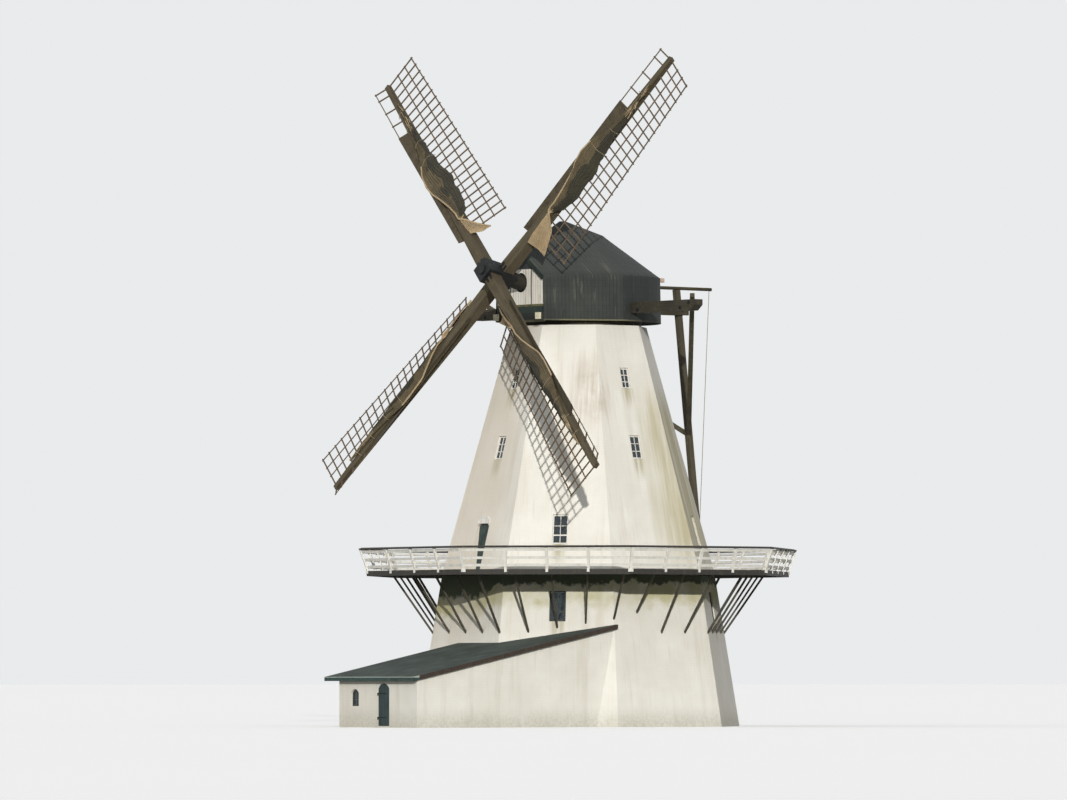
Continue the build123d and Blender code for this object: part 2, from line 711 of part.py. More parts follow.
with BuildPart() as annex_side_walls:
    for inner_x in (ANNEX_FAR_X, ANNEX_NEAR_X - ANNEX_WALL):
        with BuildSketch(upright(0, inner_x)):
            wall_profile(INNER_EAVE_Y, ROOF_TOP_Y, 0)
        extrude(amount=ANNEX_WALL)
    add(tower_outline(0))
    add(tower_outline(DECK_HEIGHT))
    loft(ruled=True, mode=Mode.SUBTRACT)
save(annex_side_walls, "annex_side_walls")

with BuildPart() as annex_floor:
    with BuildSketch(level(0)):
        rectangle_between(
            ANNEX_FAR_X + ANNEX_WALL + SEAT,
            ANNEX_NEAR_X - ANNEX_WALL - SEAT,
            INNER_EAVE_Y + SEAT,
            ROOF_TOP_Y,
        )
        rectangle_between(DOOR_LEFT_X + SEAT, DOOR_RIGHT_X - SEAT, ANNEX_EAVE_Y, INNER_EAVE_Y + SEAT)
    extrude(amount=ANNEX_FLOOR)
    add(tower_outline(0))
    add(tower_outline(DECK_HEIGHT))
    loft(ruled=True, mode=Mode.SUBTRACT)
save(annex_floor, "annex_floor")

with BuildPart() as annex_roof:
    with BuildSketch(upright(0, ROOF_FAR_X)):
        roof_profile(ROOF_DROP)
    extrude(amount=ROOF_NEAR_X - ROOF_FAR_X)
    add(tower_outline(0))
    add(tower_outline(DECK_HEIGHT))
    loft(ruled=True, mode=Mode.SUBTRACT)
save(annex_roof, "annex_roof")

with BuildPart() as annex_roof_trim:
    with BuildSketch(upright(6, SEAT - ROOF_EAVE_Y)):
        eave_top = roof_height(ROOF_EAVE_Y)
        rectangle_between(ROOF_FAR_X, ROOF_NEAR_X, eave_top - TRIM_DEPTH, eave_top)
    extrude(amount=TRIM_THICKNESS)
    for x in (ROOF_NEAR_X + SEAT, ROOF_FAR_X - SEAT - TRIM_THICKNESS):
        with BuildSketch(upright(0, x)):
            roof_profile(TRIM_DEPTH)
        extrude(amount=TRIM_THICKNESS)
    add(tower_outline(0))
    add(tower_outline(DECK_HEIGHT))
    loft(ruled=True, mode=Mode.SUBTRACT)
save(annex_roof_trim, "annex_roof_trim")

# Lean-to door: a plank leaf on strap hinges that turn on pintles beside the doorway
PIN_OUT = HINGE_EYE_RADIUS + HINGE_EYE_GAP
STRAP_FACE = PIN_OUT - HINGE_STRAP_THICKNESS
SHELF_REACH = HINGE_PIN_RADIUS + HINGE_SHELF_MARGIN


def hinge_plane(height):
    """A level plane on the hinge axis: x along the wall, y into it."""
    face = eave_plane(DOOR_LEFT_X)
    pin = face.from_local_coords((0, height, PIN_OUT))
    return Plane(origin=pin, x_dir=face.x_dir, z_dir=face.y_dir)


with BuildPart() as annex_door:
    with BuildSketch(eave_plane(ANNEX_DOOR_X)):
        add(arch_outline(
            ANNEX_DOOR_WIDTH, ANNEX_FLOOR, ANNEX_DOOR_SPRING, ANNEX_DOOR_RISE, DOOR_GAP
        ))
    extrude(amount=-ANNEX_DOOR_THICKNESS)
save(annex_door, "annex_door")

with BuildPart() as annex_door_straps:
    for height in HINGE_LEVELS:
        with BuildSketch(hinge_plane(height)):
            Circle(HINGE_EYE_RADIUS)
            rectangle_between(HINGE_EYE_GAP, HINGE_STRAP_LENGTH, STRAP_FACE, PIN_OUT)
            Circle(HINGE_PIN_RADIUS + SEAT, mode=Mode.SUBTRACT)
        extrude(amount=HINGE_STRAP_HEIGHT)
save(annex_door_straps, "annex_door_straps")

with BuildPart() as annex_door_pintles:
    for height in HINGE_LEVELS:
        with BuildSketch(hinge_plane(height - SEAT)):
            rectangle_between(-SHELF_REACH, SHELF_REACH, -SHELF_REACH, STRAP_FACE)
        extrude(amount=-HINGE_SHELF)
        with BuildSketch(hinge_plane(height - SEAT)):
            rectangle_between(-HINGE_PLATE_WIDTH, -SEAT, STRAP_FACE, PIN_OUT)
        extrude(amount=-HINGE_PLATE_HEIGHT)
        with BuildSketch(hinge_plane(height - SEAT)):
            Circle(HINGE_PIN_RADIUS)
        extrude(amount=HINGE_STRAP_HEIGHT)
save(annex_door_pintles, "annex_door_pintles")

# Cap timbers, from the curb up
HANDS = (-1, 1)
TILT = radians(SHAFT_TILT)
WEATHER_BEAM_TOP = SHEER_TOP + WEATHER_BEAM_HEIGHT
NECK_MIDDLE = NECK_START + NECK_LENGTH / 2
NECK_LOAD_DROP = SHAFT_AXIS_HEIGHT + NECK_MIDDLE * sin(TILT) - WEATHER_BEAM_TOP
WEATHER_BEAM_Y = -NECK_MIDDLE * cos(TILT) - NECK_LOAD_DROP * tan(TILT)
THRUST_PLACE = TAIL_BLOCK_BEHIND - CROSSBEAM_FRONT / cos(TILT)


def facing(y):
    """An upright plane across the mill at one y, looking out over the sails."""
    return Plane.XZ.offset(-y)


def along(x):
    """An upright plane along the mill at one x: its own x is the mill's y."""
    return Plane.YZ.offset(x)


with BuildPart() as cap_sheers:
    with BuildSketch(facing(SHEER_REAR_Y)):
        with Locations(*[(hand * SHEER_X, CAP_BASE + SHEER_HEIGHT / 2) for hand in HANDS]):
            Rectangle(SHEER_WIDTH, SHEER_HEIGHT)
    extrude(amount=SHEER_REAR_Y - SHEER_FRONT_Y)
save(cap_sheers, "cap_sheers")

with BuildPart() as weather_beam:
    with BuildSketch(along(0)):
        with Locations((WEATHER_BEAM_Y, SHEER_TOP + WEATHER_BEAM_HEIGHT / 2)):
            Rectangle(WEATHER_BEAM_WIDTH, WEATHER_BEAM_HEIGHT)
    extrude(amount=WEATHER_BEAM_HALF_LENGTH, both=True)
save(weather_beam, "weather_beam")

with BuildPart() as rear_tie_beam:
    with BuildSketch(along(0)):
        with Locations((REAR_TIE_Y, SHEER_TOP + TAIL_BEAM_DROP / 2)):
            Rectangle(REAR_TIE_WIDTH, TAIL_BEAM_DROP)
    extrude(amount=REAR_TIE_HALF_LENGTH, both=True)
save(rear_tie_beam, "rear_tie_beam")

with BuildPart() as long_crossbeam:
    with BuildSketch(facing(CROSSBEAM_REAR)):
        lower_end = CROSSBEAM_HALF_LENGTH - CROSSBEAM_END_CUT
        Polygon(
            (-lower_end, SHEER_TOP),
            (lower_end, SHEER_TOP),
            (CROSSBEAM_HALF_LENGTH, CROSSBEAM_TOP - CROSSBEAM_HEIGHT / 2),
            (CROSSBEAM_HALF_LENGTH, CROSSBEAM_TOP),
            (-CROSSBEAM_HALF_LENGTH, CROSSBEAM_TOP),
            (-CROSSBEAM_HALF_LENGTH, CROSSBEAM_TOP - CROSSBEAM_HEIGHT / 2),
            align=None,
        )
    extrude(amount=CROSSBEAM_WIDTH)
save(long_crossbeam, "long_crossbeam")

with BuildPart() as cap_sill_beam:
    with BuildSketch(along(0)):
        rectangle_between(CAP_FRONT_Y, CAP_FRONT_Y + SILL_BEAM_WIDTH, SHEER_TOP, SILL_BEAM_TOP)
    extrude(amount=SILL_BEAM_HALF_LENGTH, both=True)
save(cap_sill_beam, "cap_sill_beam")

with BuildPart() as cap_apron:
    apron_back = CAP_FRONT_Y + APRON_SETBACK
    with BuildSketch(along(0)):
        Polygon(
            (CAP_FRONT_Y, SHEER_TOP - SEAT),
            (apron_back, SHEER_TOP - APRON_DROP),
            (apron_back + APRON_THICKNESS, SHEER_TOP - APRON_DROP),
            (CAP_FRONT_Y + 2 * APRON_THICKNESS, SHEER_TOP - SEAT),
            align=None,
        )
    extrude(amount=SHEER_X - SHEER_WIDTH / 2 - SEAT, both=True)
save(cap_apron, "cap_apron")

with BuildPart() as tail_beams:
    with BuildSketch(facing(TAIL_BEAM_END_Y)):
        tail_beam_x = TAIL_POLE_SIZE / 2 + SEAT + TAIL_BEAM_WIDTH / 2
        with Locations(*[(hand * tail_beam_x, TAIL_BEAM_BASE + TAIL_BEAM_HEIGHT / 2) for hand in HANDS]):
            Rectangle(TAIL_BEAM_WIDTH, TAIL_BEAM_HEIGHT)
    extrude(amount=TAIL_BEAM_END_Y - CROSSBEAM_REAR - SEAT)
save(tail_beams, "tail_beams")

# Blocks that carry the windshaft, each with a flat-faced V under the iron
with BuildPart() as neck_block:
    with BuildSketch(SHAFT_PLANE.offset(NECK_START + NECK_BLOCK_SETBACK)):
        half_width = NECK_BLOCK_WIDTH / 2
        apex = (NECK_RADIUS + SEAT) * sqrt(2)
        Polygon(
            (-half_width, -2 * half_width - NECK_RADIUS),
            (half_width, -2 * half_width - NECK_RADIUS),
            (half_width, half_width - apex),
            (0, -apex),
            (-half_width, half_width - apex),
            align=None,
        )
    extrude(amount=NECK_LENGTH - NECK_BLOCK_SETBACK - SEAT)
    with BuildSketch(Plane.XY.offset(WEATHER_BEAM_TOP)):
        with Locations((0, WEATHER_BEAM_Y)):
            Rectangle(3 * NECK_BLOCK_WIDTH, 3 * NECK_BLOCK_WIDTH)
    extrude(amount=-WEATHER_BEAM_HEIGHT, mode=Mode.SUBTRACT)
save(neck_block, "neck_block")

with BuildPart() as tail_block:
    half_slot = GUDGEON_RADIUS + SEAT
    half_block = TAIL_BLOCK_WIDTH / 2
    with BuildSketch(SHAFT_PLANE.offset(THRUST_PLACE - 2 * TAIL_BLOCK_BEHIND)):
        rectangle_between(-half_block, half_block, -TAIL_BLOCK_BELOW, TAIL_BLOCK_ABOVE)
    extrude(amount=2 * TAIL_BLOCK_BEHIND + GUDGEON_LENGTH - SEAT)
    with BuildSketch(SHAFT_PLANE.offset(THRUST_PLACE)):
        Polygon(
            (-half_slot, 2 * TAIL_BLOCK_ABOVE),
            (-half_slot, half_slot * (1 - sqrt(2))),
            (0, -half_slot * sqrt(2)),
            (half_slot, half_slot * (1 - sqrt(2))),
            (half_slot, 2 * TAIL_BLOCK_ABOVE),
            align=None,
        )
    extrude(amount=2 * GUDGEON_LENGTH, mode=Mode.SUBTRACT)
    with BuildSketch(facing(CROSSBEAM_FRONT)):
        rectangle_between(-half_block, half_block, SHEER_TOP, SHAFT_AXIS_HEIGHT + CROSSBEAM_WIDTH)
    extrude(amount=-CROSSBEAM_WIDTH, mode=Mode.SUBTRACT)
save(tail_block, "tail_block")


# Cap boarding
def cap_outline(entry):
    """One level outline of the cap: splayed front, straight sides and a rounded stern."""
    height, front, front_half, shoulder, shoulder_half, rear = entry
    with BuildSketch(Plane.XY.offset(TOWER_HEIGHT + height)) as outline:
        with BuildLine():
            Polyline(
                (-shoulder_half, shoulder), (-front_half, front), (front_half, front),
                (shoulder_half, shoulder),
            )
            EllipticalCenterArc((0, shoulder), shoulder_half, rear - shoulder, arc_size=180)
        make_face()
    return outline.sketch


def cap_within(inset):
    """Outlines of the space inside the boards: open below and, up to the gable's top, in front."""
    outlines = []
    for height, front, front_half, shoulder, shoulder_half, rear in CAP_OUTLINES:
        gable_part = TOWER_HEIGHT + height <= CAP_GABLE_TOP
        outlines.append((
            height - (0 if TOWER_HEIGHT + height == CAP_WALL_TOP else inset),
            front - (GABLE_RECESS if gable_part else 0),
            front_half - inset,
            shoulder,
            shoulder_half - inset,
            rear - inset,
        ))
    return outlines


def cap_body(outlines):
    """The cap's form as one solid between its outlines."""
    with BuildPart() as body:
        for lower, upper in zip(outlines, outlines[1:]):
            add(cap_outline(lower))
            add(cap_outline(upper))
            loft(ruled=True)
    return body.part


with BuildPart() as cap_shell:
    add(cap_body(CAP_OUTLINES))
    add(cap_body(cap_within(CAP_BOARD)), mode=Mode.SUBTRACT)
    with BuildSketch(facing(CROSSBEAM_REAR + SEAT)):
        rectangle_between(-REACH, REACH, SHEER_TOP - SEAT, CROSSBEAM_TOP + SEAT)
    extrude(amount=CROSSBEAM_WIDTH + 2 * SEAT, mode=Mode.SUBTRACT)
    with BuildSketch(facing(TAIL_BEAM_END_Y)):
        beam_middle = TAIL_BEAM_BASE + TAIL_BEAM_HEIGHT / 2
        with Locations(*[(hand * tail_beam_x, beam_middle) for hand in HANDS]):
            Rectangle(TAIL_BEAM_WIDTH + 2 * SEAT, TAIL_BEAM_HEIGHT + 2 * SEAT)
        with Locations((0, LEVER_HEIGHT)):
            Circle(LEVER_RADIUS + SEAT)
    extrude(amount=TAIL_BEAM_END_Y - CROSSBEAM_REAR, mode=Mode.SUBTRACT)
save(cap_shell, "cap_shell")

with BuildPart() as cap_gable:
    add(cap_body(cap_within(CAP_BOARD + SEAT)))
    with BuildSketch(facing(GABLE_FACE_Y + GABLE_THICKNESS)):
        rectangle_between(-VERGE_FOOT_X, VERGE_FOOT_X, SILL_BEAM_TOP + SEAT, CAP_GABLE_TOP)
    extrude(amount=GABLE_THICKNESS, mode=Mode.INTERSECT)
    with BuildSketch(SHAFT_PLANE):
        Circle(SHAFT_RADIUS + GABLE_SHAFT_GAP)
    extrude(amount=HUB_START, mode=Mode.SUBTRACT)
save(cap_gable, "cap_gable")

with BuildPart() as gable_verge_boards:
    verge_run = Vector(VERGE_FOOT_X, CAP_GABLE_TOP + VERGE_DEPTH / 2 - VERGE_FOOT_HEIGHT)
    across = Vector(verge_run.Y, verge_run.X).normalized() * VERGE_DEPTH
    for hand in HANDS:
        with BuildSketch(facing(CAP_FRONT_Y - SEAT)):
            top_height = CAP_GABLE_TOP + VERGE_DEPTH / 2
            Polygon(
                (hand * VERGE_FOOT_X, VERGE_FOOT_HEIGHT),
                (hand * SEAT / 2, top_height),
                (hand * SEAT / 2, top_height - VERGE_DEPTH * verge_run.length / verge_run.X),
                (hand * (VERGE_FOOT_X - across.X), VERGE_FOOT_HEIGHT - across.Y),
                align=None,
            )
        extrude(amount=VERGE_THICKNESS)
save(gable_verge_boards, "gable_verge_boards")


# Tail pole, braces and brake lever
def pole_y(height):
    """Middle of the tail pole at a height."""
    share = (TAIL_POLE_TOP - height) / (TAIL_POLE_TOP - TAIL_POLE_FOOT_HEIGHT)
    return TAIL_POLE_TOP_Y + (TAIL_POLE_FOOT_Y - TAIL_POLE_TOP_Y) * share


with BuildPart() as tail_pole:
    half_pole = TAIL_POLE_SIZE / 2
    with BuildSketch(along(0)):
        Polygon(
            (TAIL_POLE_FOOT_Y - half_pole, TAIL_POLE_FOOT_HEIGHT),
            (TAIL_POLE_FOOT_Y + half_pole, TAIL_POLE_FOOT_HEIGHT),
            (TAIL_POLE_TOP_Y + half_pole, TAIL_POLE_TOP),
            (TAIL_POLE_TOP_Y - half_pole, TAIL_POLE_TOP),
            align=None,
        )
    extrude(amount=half_pole, both=True)
    with BuildSketch(along(0)):
        cleat_back = pole_y(ROPE_FOOT_HEIGHT) + half_pole + CLEAT_DEPTH
        rectangle_between(
            cleat_back - 2 * CLEAT_DEPTH,
            cleat_back,
            ROPE_FOOT_HEIGHT - CLEAT_LENGTH,
            ROPE_FOOT_HEIGHT - SEAT,
        )
    extrude(amount=CLEAT_WIDTH / 2, both=True)
save(tail_pole, "tail_pole")

with BuildPart() as tail_braces:
    for hand in HANDS:
        head = Vector(hand * BRACE_HEAD_X, BRACE_HEAD_Y, BRACE_HEAD_HEIGHT)
        foot = Vector(0, pole_y(BRACE_FOOT_HEIGHT), BRACE_FOOT_HEIGHT)
        with BuildSketch(square_to(head, foot)):
            Rectangle(BRACE_SIZE, BRACE_SIZE)
        extrude(amount=(foot - head).length)
    with BuildSketch(along(0)):
        rectangle_between(0, 2 * TAIL_POLE_FOOT_Y, TAIL_POLE_FOOT_HEIGHT, TAIL_POLE_TOP)
    extrude(amount=half_pole + SEAT, both=True, mode=Mode.SUBTRACT)
    with BuildSketch(facing(CROSSBEAM_REAR + SEAT)):
        rectangle_between(-REACH, REACH, SHEER_TOP - SEAT, CROSSBEAM_TOP + SEAT)
    extrude(amount=CROSSBEAM_WIDTH + 2 * SEAT, mode=Mode.SUBTRACT)
save(tail_braces, "tail_braces")

with BuildPart() as brake_lever:
    with BuildSketch(facing(LEVER_OUTER_Y)):
        with Locations((0, LEVER_HEIGHT)):
            Circle(LEVER_RADIUS)
    extrude(amount=LEVER_OUTER_Y - LEVER_INNER_Y)
save(brake_lever, "brake_lever")

with BuildPart() as brake_rope:
    rope_foot = Vector(0, cleat_back - CLEAT_DEPTH / 2, ROPE_FOOT_HEIGHT)
    rope_head = Vector(0, LEVER_OUTER_Y - ROPE_INSET, LEVER_HEIGHT - LEVER_RADIUS - SEAT)
    with BuildSketch(Plane.XY.offset(ROPE_FOOT_HEIGHT)):
        with Locations((rope_foot.X, rope_foot.Y)):
            RegularPolygon(ROPE_RADIUS, 8)
    extrude(amount=(rope_head - rope_foot).length, dir=rope_head - rope_foot)
save(brake_rope, "brake_rope")

# Windshaft
with BuildPart() as windshaft:
    axis_plane = Plane(origin=SHAFT_PLANE.origin, x_dir=(1, 0, 0), z_dir=SHAFT_PLANE.y_dir * -1)
    body_start = THRUST_PLACE + GUDGEON_LENGTH
    with BuildSketch(axis_plane):
        Polygon(
            (0, THRUST_PLACE + SEAT),
            (GUDGEON_RADIUS, THRUST_PLACE + SEAT),
            (GUDGEON_RADIUS, body_start),
            (SHAFT_RADIUS, body_start),
            (SHAFT_RADIUS, NECK_START),
            (NECK_RADIUS, NECK_START),
            (NECK_RADIUS, NECK_START + NECK_LENGTH),
            (COLLAR_RADIUS, NECK_START + NECK_LENGTH),
            (COLLAR_RADIUS, NECK_START + NECK_LENGTH + COLLAR_LENGTH),
            (SHAFT_RADIUS, NECK_START + NECK_LENGTH + COLLAR_LENGTH),
            (SHAFT_RADIUS, HUB_START - SEAT),
            (0, HUB_START - SEAT),
            align=None,
        )
    revolve(axis=Axis(SHAFT_PLANE.origin, SHAFT_FORWARD))
save(windshaft, "windshaft")


# Stocks, through the hub
def arm_plane(place, angle):
    """Plane of one arm: x towards its trailing edge, y outwards along the stock."""
    turn = radians(angle)
    return Plane(
        origin=SHAFT_PLANE.offset(place).origin,
        x_dir=SHAFT_PLANE.x_dir * cos(turn) - SHAFT_PLANE.y_dir * sin(turn),
        z_dir=SHAFT_FORWARD,
    )


STOCKS = {
    "inner": (INNER_STOCK_PLACE, INNER_STOCK_ANGLE),
    "outer": (OUTER_STOCK_PLACE, INNER_STOCK_ANGLE - 90.0),
}

with BuildPart() as hub:
    with BuildSketch(arm_plane(HUB_START, INNER_STOCK_ANGLE)):
        Rectangle(HUB_SIZE, HUB_SIZE)
    extrude(amount=HUB_LENGTH)
    with BuildSketch(SHAFT_PLANE.offset(HUB_START + HUB_LENGTH)):
        Circle(HUB_BOSS_RADIUS)
    extrude(amount=HUB_BOSS_LENGTH)
    for place, angle in STOCKS.values():
        with BuildSketch(arm_plane(place, angle)):
            Rectangle(STOCK_WIDTH + 2 * SEAT, 2 * HUB_SIZE)
        extrude(amount=STOCK_DEPTH / 2 + SEAT, both=True, mode=Mode.SUBTRACT)
save(hub, "sail_hub")


def stock_half_width(radius):
    """Half the stock's width, seen from in front, at a distance from the hub."""
    share = (radius - STOCK_STRAIGHT) / (SAIL_RADIUS - STOCK_STRAIGHT)
    return (STOCK_WIDTH + (STOCK_TIP_WIDTH - STOCK_WIDTH) * share) / 2


for name, (place, angle) in STOCKS.items():
    with BuildPart() as stock:
        for turn in (0, 180):
            outward = Plane(
                origin=arm_plane(place, angle).origin,
                x_dir=arm_plane(place, angle + turn).x_dir,
                z_dir=arm_plane(place, angle + turn).y_dir,
            )
            with BuildSketch(outward):
                Rectangle(STOCK_WIDTH, STOCK_DEPTH)
            extrude(amount=STOCK_STRAIGHT)
            with BuildSketch(outward.offset(STOCK_STRAIGHT)):
                Rectangle(STOCK_WIDTH, STOCK_DEPTH)
            with BuildSketch(outward.offset(SAIL_RADIUS)):
                Rectangle(STOCK_TIP_WIDTH, STOCK_TIP_DEPTH)
            loft(ruled=True)
    save(stock, f"{name}_stock")


# Sail lattices, drawn for one arm and set on all four
def weather_slope(radius):
    """How far the lattice falls back across its width, flattening towards the tip."""
    return HEEL_SLOPE * (TIP_BAR_RADIUS - radius) / (TIP_BAR_RADIUS - HEEL_BAR_RADIUS)


def bar_radius(index):
    """Distance of one bar from the hub, counted from the tip."""
    return TIP_BAR_RADIUS - index * BAR_PITCH


def lath(x, start, end):
    """A straight lath along the arm, laid on the twist of the bars."""
    foot = Vector(x, start, -x * weather_slope(start))
    head = Vector(x, end, -x * weather_slope(end))
    mean = weather_slope((start + end) / 2)
    across = Vector(1, 0, -mean)
    with BuildPart() as piece:
        with BuildSketch(Plane(origin=foot, x_dir=across, z_dir=head - foot)):
            Rectangle(LATH_WIDTH, LATH_DEPTH)
        extrude(amount=(head - foot).length)
    return piece.part


def cross_bar(radius, slope, start, end):
    """A bar across the arm between two distances from the stock's middle, at a slope."""
    foot = Vector(start, radius, -start * slope)
    head = Vector(end, radius, -end * slope)
    with BuildPart() as piece:
        with BuildSketch(Plane(origin=foot, x_dir=(0, 1, 0), z_dir=head - foot)):
            Rectangle(BAR_WIDTH, BAR_DEPTH)
        extrude(amount=(head - foot).length)
    return piece.part


lattice_bars = []
for index in range(BAR_COUNT):
    radius = bar_radius(index)
    slope = weather_slope(radius)
    start = stock_half_width(radius) + SEAT + BAR_DEPTH / 2 * slope / sqrt(1 + slope**2)
    lattice_bars.append(cross_bar(radius, slope, start, BAR_END_X))
lattice_laths = []
for x in LATH_PLACES:
    heel = HEEL_BAR_RADIUS - LATH_OVERRUN
    lattice_laths.append(lath(x, heel, TIP_BAR_RADIUS + LATH_OVERRUN))
with BuildPart() as lattice:
    add(lattice_bars)
    add(lattice_laths)


# Boards along the leading edge, and the open rungs beyond them
def towards_heel(radius, tip_value, heel_value):
    """A size of the leading side that grows from the boards' tip to their heel."""
    share = max(0.0, (BOARD_TIP - radius) / (BOARD_TIP - BOARD_HEEL))
    return tip_value + (heel_value - tip_value) * share


def leading_tilt(radius):
    """How far the leading side is turned forward out of the sail's plane."""
    return radians(towards_heel(radius, LEADING_TIP_TILT, LEADING_HEEL_TILT))


def leading_start(radius, thickness):
    """Where a piece of the leading side meets the stock, from the stock's middle."""
    return stock_half_width(radius) + SEAT + thickness / 2 * sin(leading_tilt(radius))


def leading_point(x, radius):
    """A point of the leading side, at a distance from the stock's middle."""
    rise = (x - stock_half_width(radius)) * tan(leading_tilt(radius))
    return Vector(-x, radius, LEADING_LIFT + rise)


def leading_section(radius):
    """Section of the leading board square to the stock."""
    inner = leading_point(leading_start(radius, BOARD_THICKNESS), radius)
    outer = leading_point(towards_heel(radius, LEADING_TIP_EDGE, LEADING_HEEL_EDGE), radius)
    run = (outer - inner).normalized()
    lift = Vector(0, 1, 0).cross(run) * (BOARD_THICKNESS / 2)
    corners = [inner - lift, outer - lift, outer + lift, inner + lift]
    return Face(Wire.make_polygon(corners))


with BuildPart() as board:
    add(leading_section(BOARD_HEEL))
    add(leading_section(BOARD_TIP))
    loft(ruled=True)

with BuildPart() as ladder:
    for index in LADDER_BARS:
        radius = bar_radius(index)
        foot = leading_point(leading_start(radius, BAR_DEPTH), radius)
        head = leading_point(LEADING_TIP_EDGE, radius)
        with BuildSketch(Plane(origin=foot, x_dir=(0, 1, 0), z_dir=head - foot)):
            Rectangle(BAR_WIDTH, BAR_DEPTH)
        extrude(amount=(head - foot).length)
    rail_x = LEADING_TIP_EDGE - LADDER_LATH_WIDTH
    rail_foot = leading_point(rail_x, BOARD_TIP + SEAT)
    rail_head = leading_point(rail_x, TIP_BAR_RADIUS + LATH_OVERRUN)
    rail_across = (-1, 0, tan(leading_tilt(BOARD_TIP)))
    with BuildSketch(Plane(origin=rail_foot, x_dir=rail_across, z_dir=rail_head - rail_foot)):
        Rectangle(LADDER_LATH_WIDTH, LATH_DEPTH)
    extrude(amount=(rail_head - rail_foot).length)


# Furled cloths, rolled against the stocks in front of the bars
def cloth_section(radius, roll):
    """Section of the rolled cloth, and where it lies against the stock."""
    slope = weather_slope(radius)
    x = stock_half_width(radius) + SEAT + roll
    z = (BAR_DEPTH / 2 + CLOTH_GAP + roll) * sqrt(1 + slope**2) - x * slope
    with BuildSketch(Plane(origin=(x, radius, z), x_dir=(1, 0, 0), z_dir=(0, 1, 0))) as section:
        Circle(roll)
    return section.sketch


with BuildPart() as cloth:
    add(cloth_section(CLOTH_HEEL, CLOTH_HEEL_RADIUS))
    add(cloth_section(CLOTH_TIP, CLOTH_TIP_RADIUS))
    loft(ruled=True)

ARMS = []
for place, angle in STOCKS.values():
    ARMS.append((place, angle))
    ARMS.append((place, angle + 180.0))


def on_arms(piece, arms):
    """One piece, drawn for one arm, set on some of the arms."""
    with BuildPart() as copies:
        add([piece.moved(arm_plane(place, angle).location) for place, angle in arms])
    return copies


save(on_arms(lattice.part, ARMS[:2]), "inner_sail_lattices")
save(on_arms(lattice.part, ARMS[2:]), "outer_sail_lattices")
save(on_arms(board.part, ARMS), "leading_boards")
save(on_arms(ladder.part, ARMS), "leading_ladders")
save(on_arms(cloth.part, ARMS), "furled_cloths")
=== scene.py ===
import bpy
import math
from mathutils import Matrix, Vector, noise


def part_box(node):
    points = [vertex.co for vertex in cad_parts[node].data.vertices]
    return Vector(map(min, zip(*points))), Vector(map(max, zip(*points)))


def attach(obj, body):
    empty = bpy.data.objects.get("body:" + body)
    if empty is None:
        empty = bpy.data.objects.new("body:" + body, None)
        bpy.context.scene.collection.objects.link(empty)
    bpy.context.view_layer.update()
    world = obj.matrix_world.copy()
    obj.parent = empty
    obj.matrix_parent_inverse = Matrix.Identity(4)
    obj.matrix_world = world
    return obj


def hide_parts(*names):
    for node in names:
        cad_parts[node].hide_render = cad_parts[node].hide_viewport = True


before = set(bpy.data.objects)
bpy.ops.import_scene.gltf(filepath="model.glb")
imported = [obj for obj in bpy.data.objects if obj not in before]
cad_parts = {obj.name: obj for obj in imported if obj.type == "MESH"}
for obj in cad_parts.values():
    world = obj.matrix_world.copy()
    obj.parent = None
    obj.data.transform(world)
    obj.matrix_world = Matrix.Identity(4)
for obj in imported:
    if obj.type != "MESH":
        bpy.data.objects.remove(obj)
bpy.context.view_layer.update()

# Sizes shared with the model, in metres
TURN = math.radians(-4.8)
# from a corner radius of the octagon to the middle of its sides
APOTHEM = math.cos(math.radians(22.5))
DECK = 5.95
WALL_TOP = 15.35
# corner radii of the tower and the gallery
GROUND_RADIUS, DECK_RADIUS, TOP_RADIUS = 6.37, 5.37, 2.68
GALLERY_RADIUS = 8.35
# width, sill and head of the tower's windows
LOWER, STAGE, MIDDLE, UPPER = (0.63, 4.0, 5.15), (0.6, 6.93, 8.06), (0.49, 10.2, 11.1), (0.4, 12.9, 13.7)
# the lean-to's front wall, its window, and how deep its glass lies
ANNEX_FRONT = 11.3
ANNEX_WINDOW = 1.23
WINDOW_RECESS = 0.08
# sideways along the front of tower and lean-to
FRONT_ACROSS = (math.cos(TURN), math.sin(TURN), 0)
TILT = math.radians(12.8)
AXIS_HEIGHT = 16.31
FORWARD = Vector((0, -math.cos(TILT), math.sin(TILT)))
UP = Vector((0, math.sin(TILT), math.cos(TILT)))
INNER_ANGLE = 43.5
# place along the shaft, and angle, of each arm
ARMS = [(4.0, INNER_ANGLE), (4.0, INNER_ANGLE + 180), (4.615, INNER_ANGLE - 90), (4.615, INNER_ANGLE + 90)]
SAIL_TIP, STOCK_STRAIGHT = 11.3, 0.38


def linear(code):
    """A colour as it should look, for a shader."""
    parts = [int(code[i:i + 2], 16) / 255 for i in (1, 3, 5)]
    return tuple(c / 12.92 if c <= 0.04045 else ((c + 0.055) / 1.055) ** 2.4 for c in parts) + (1.0,)


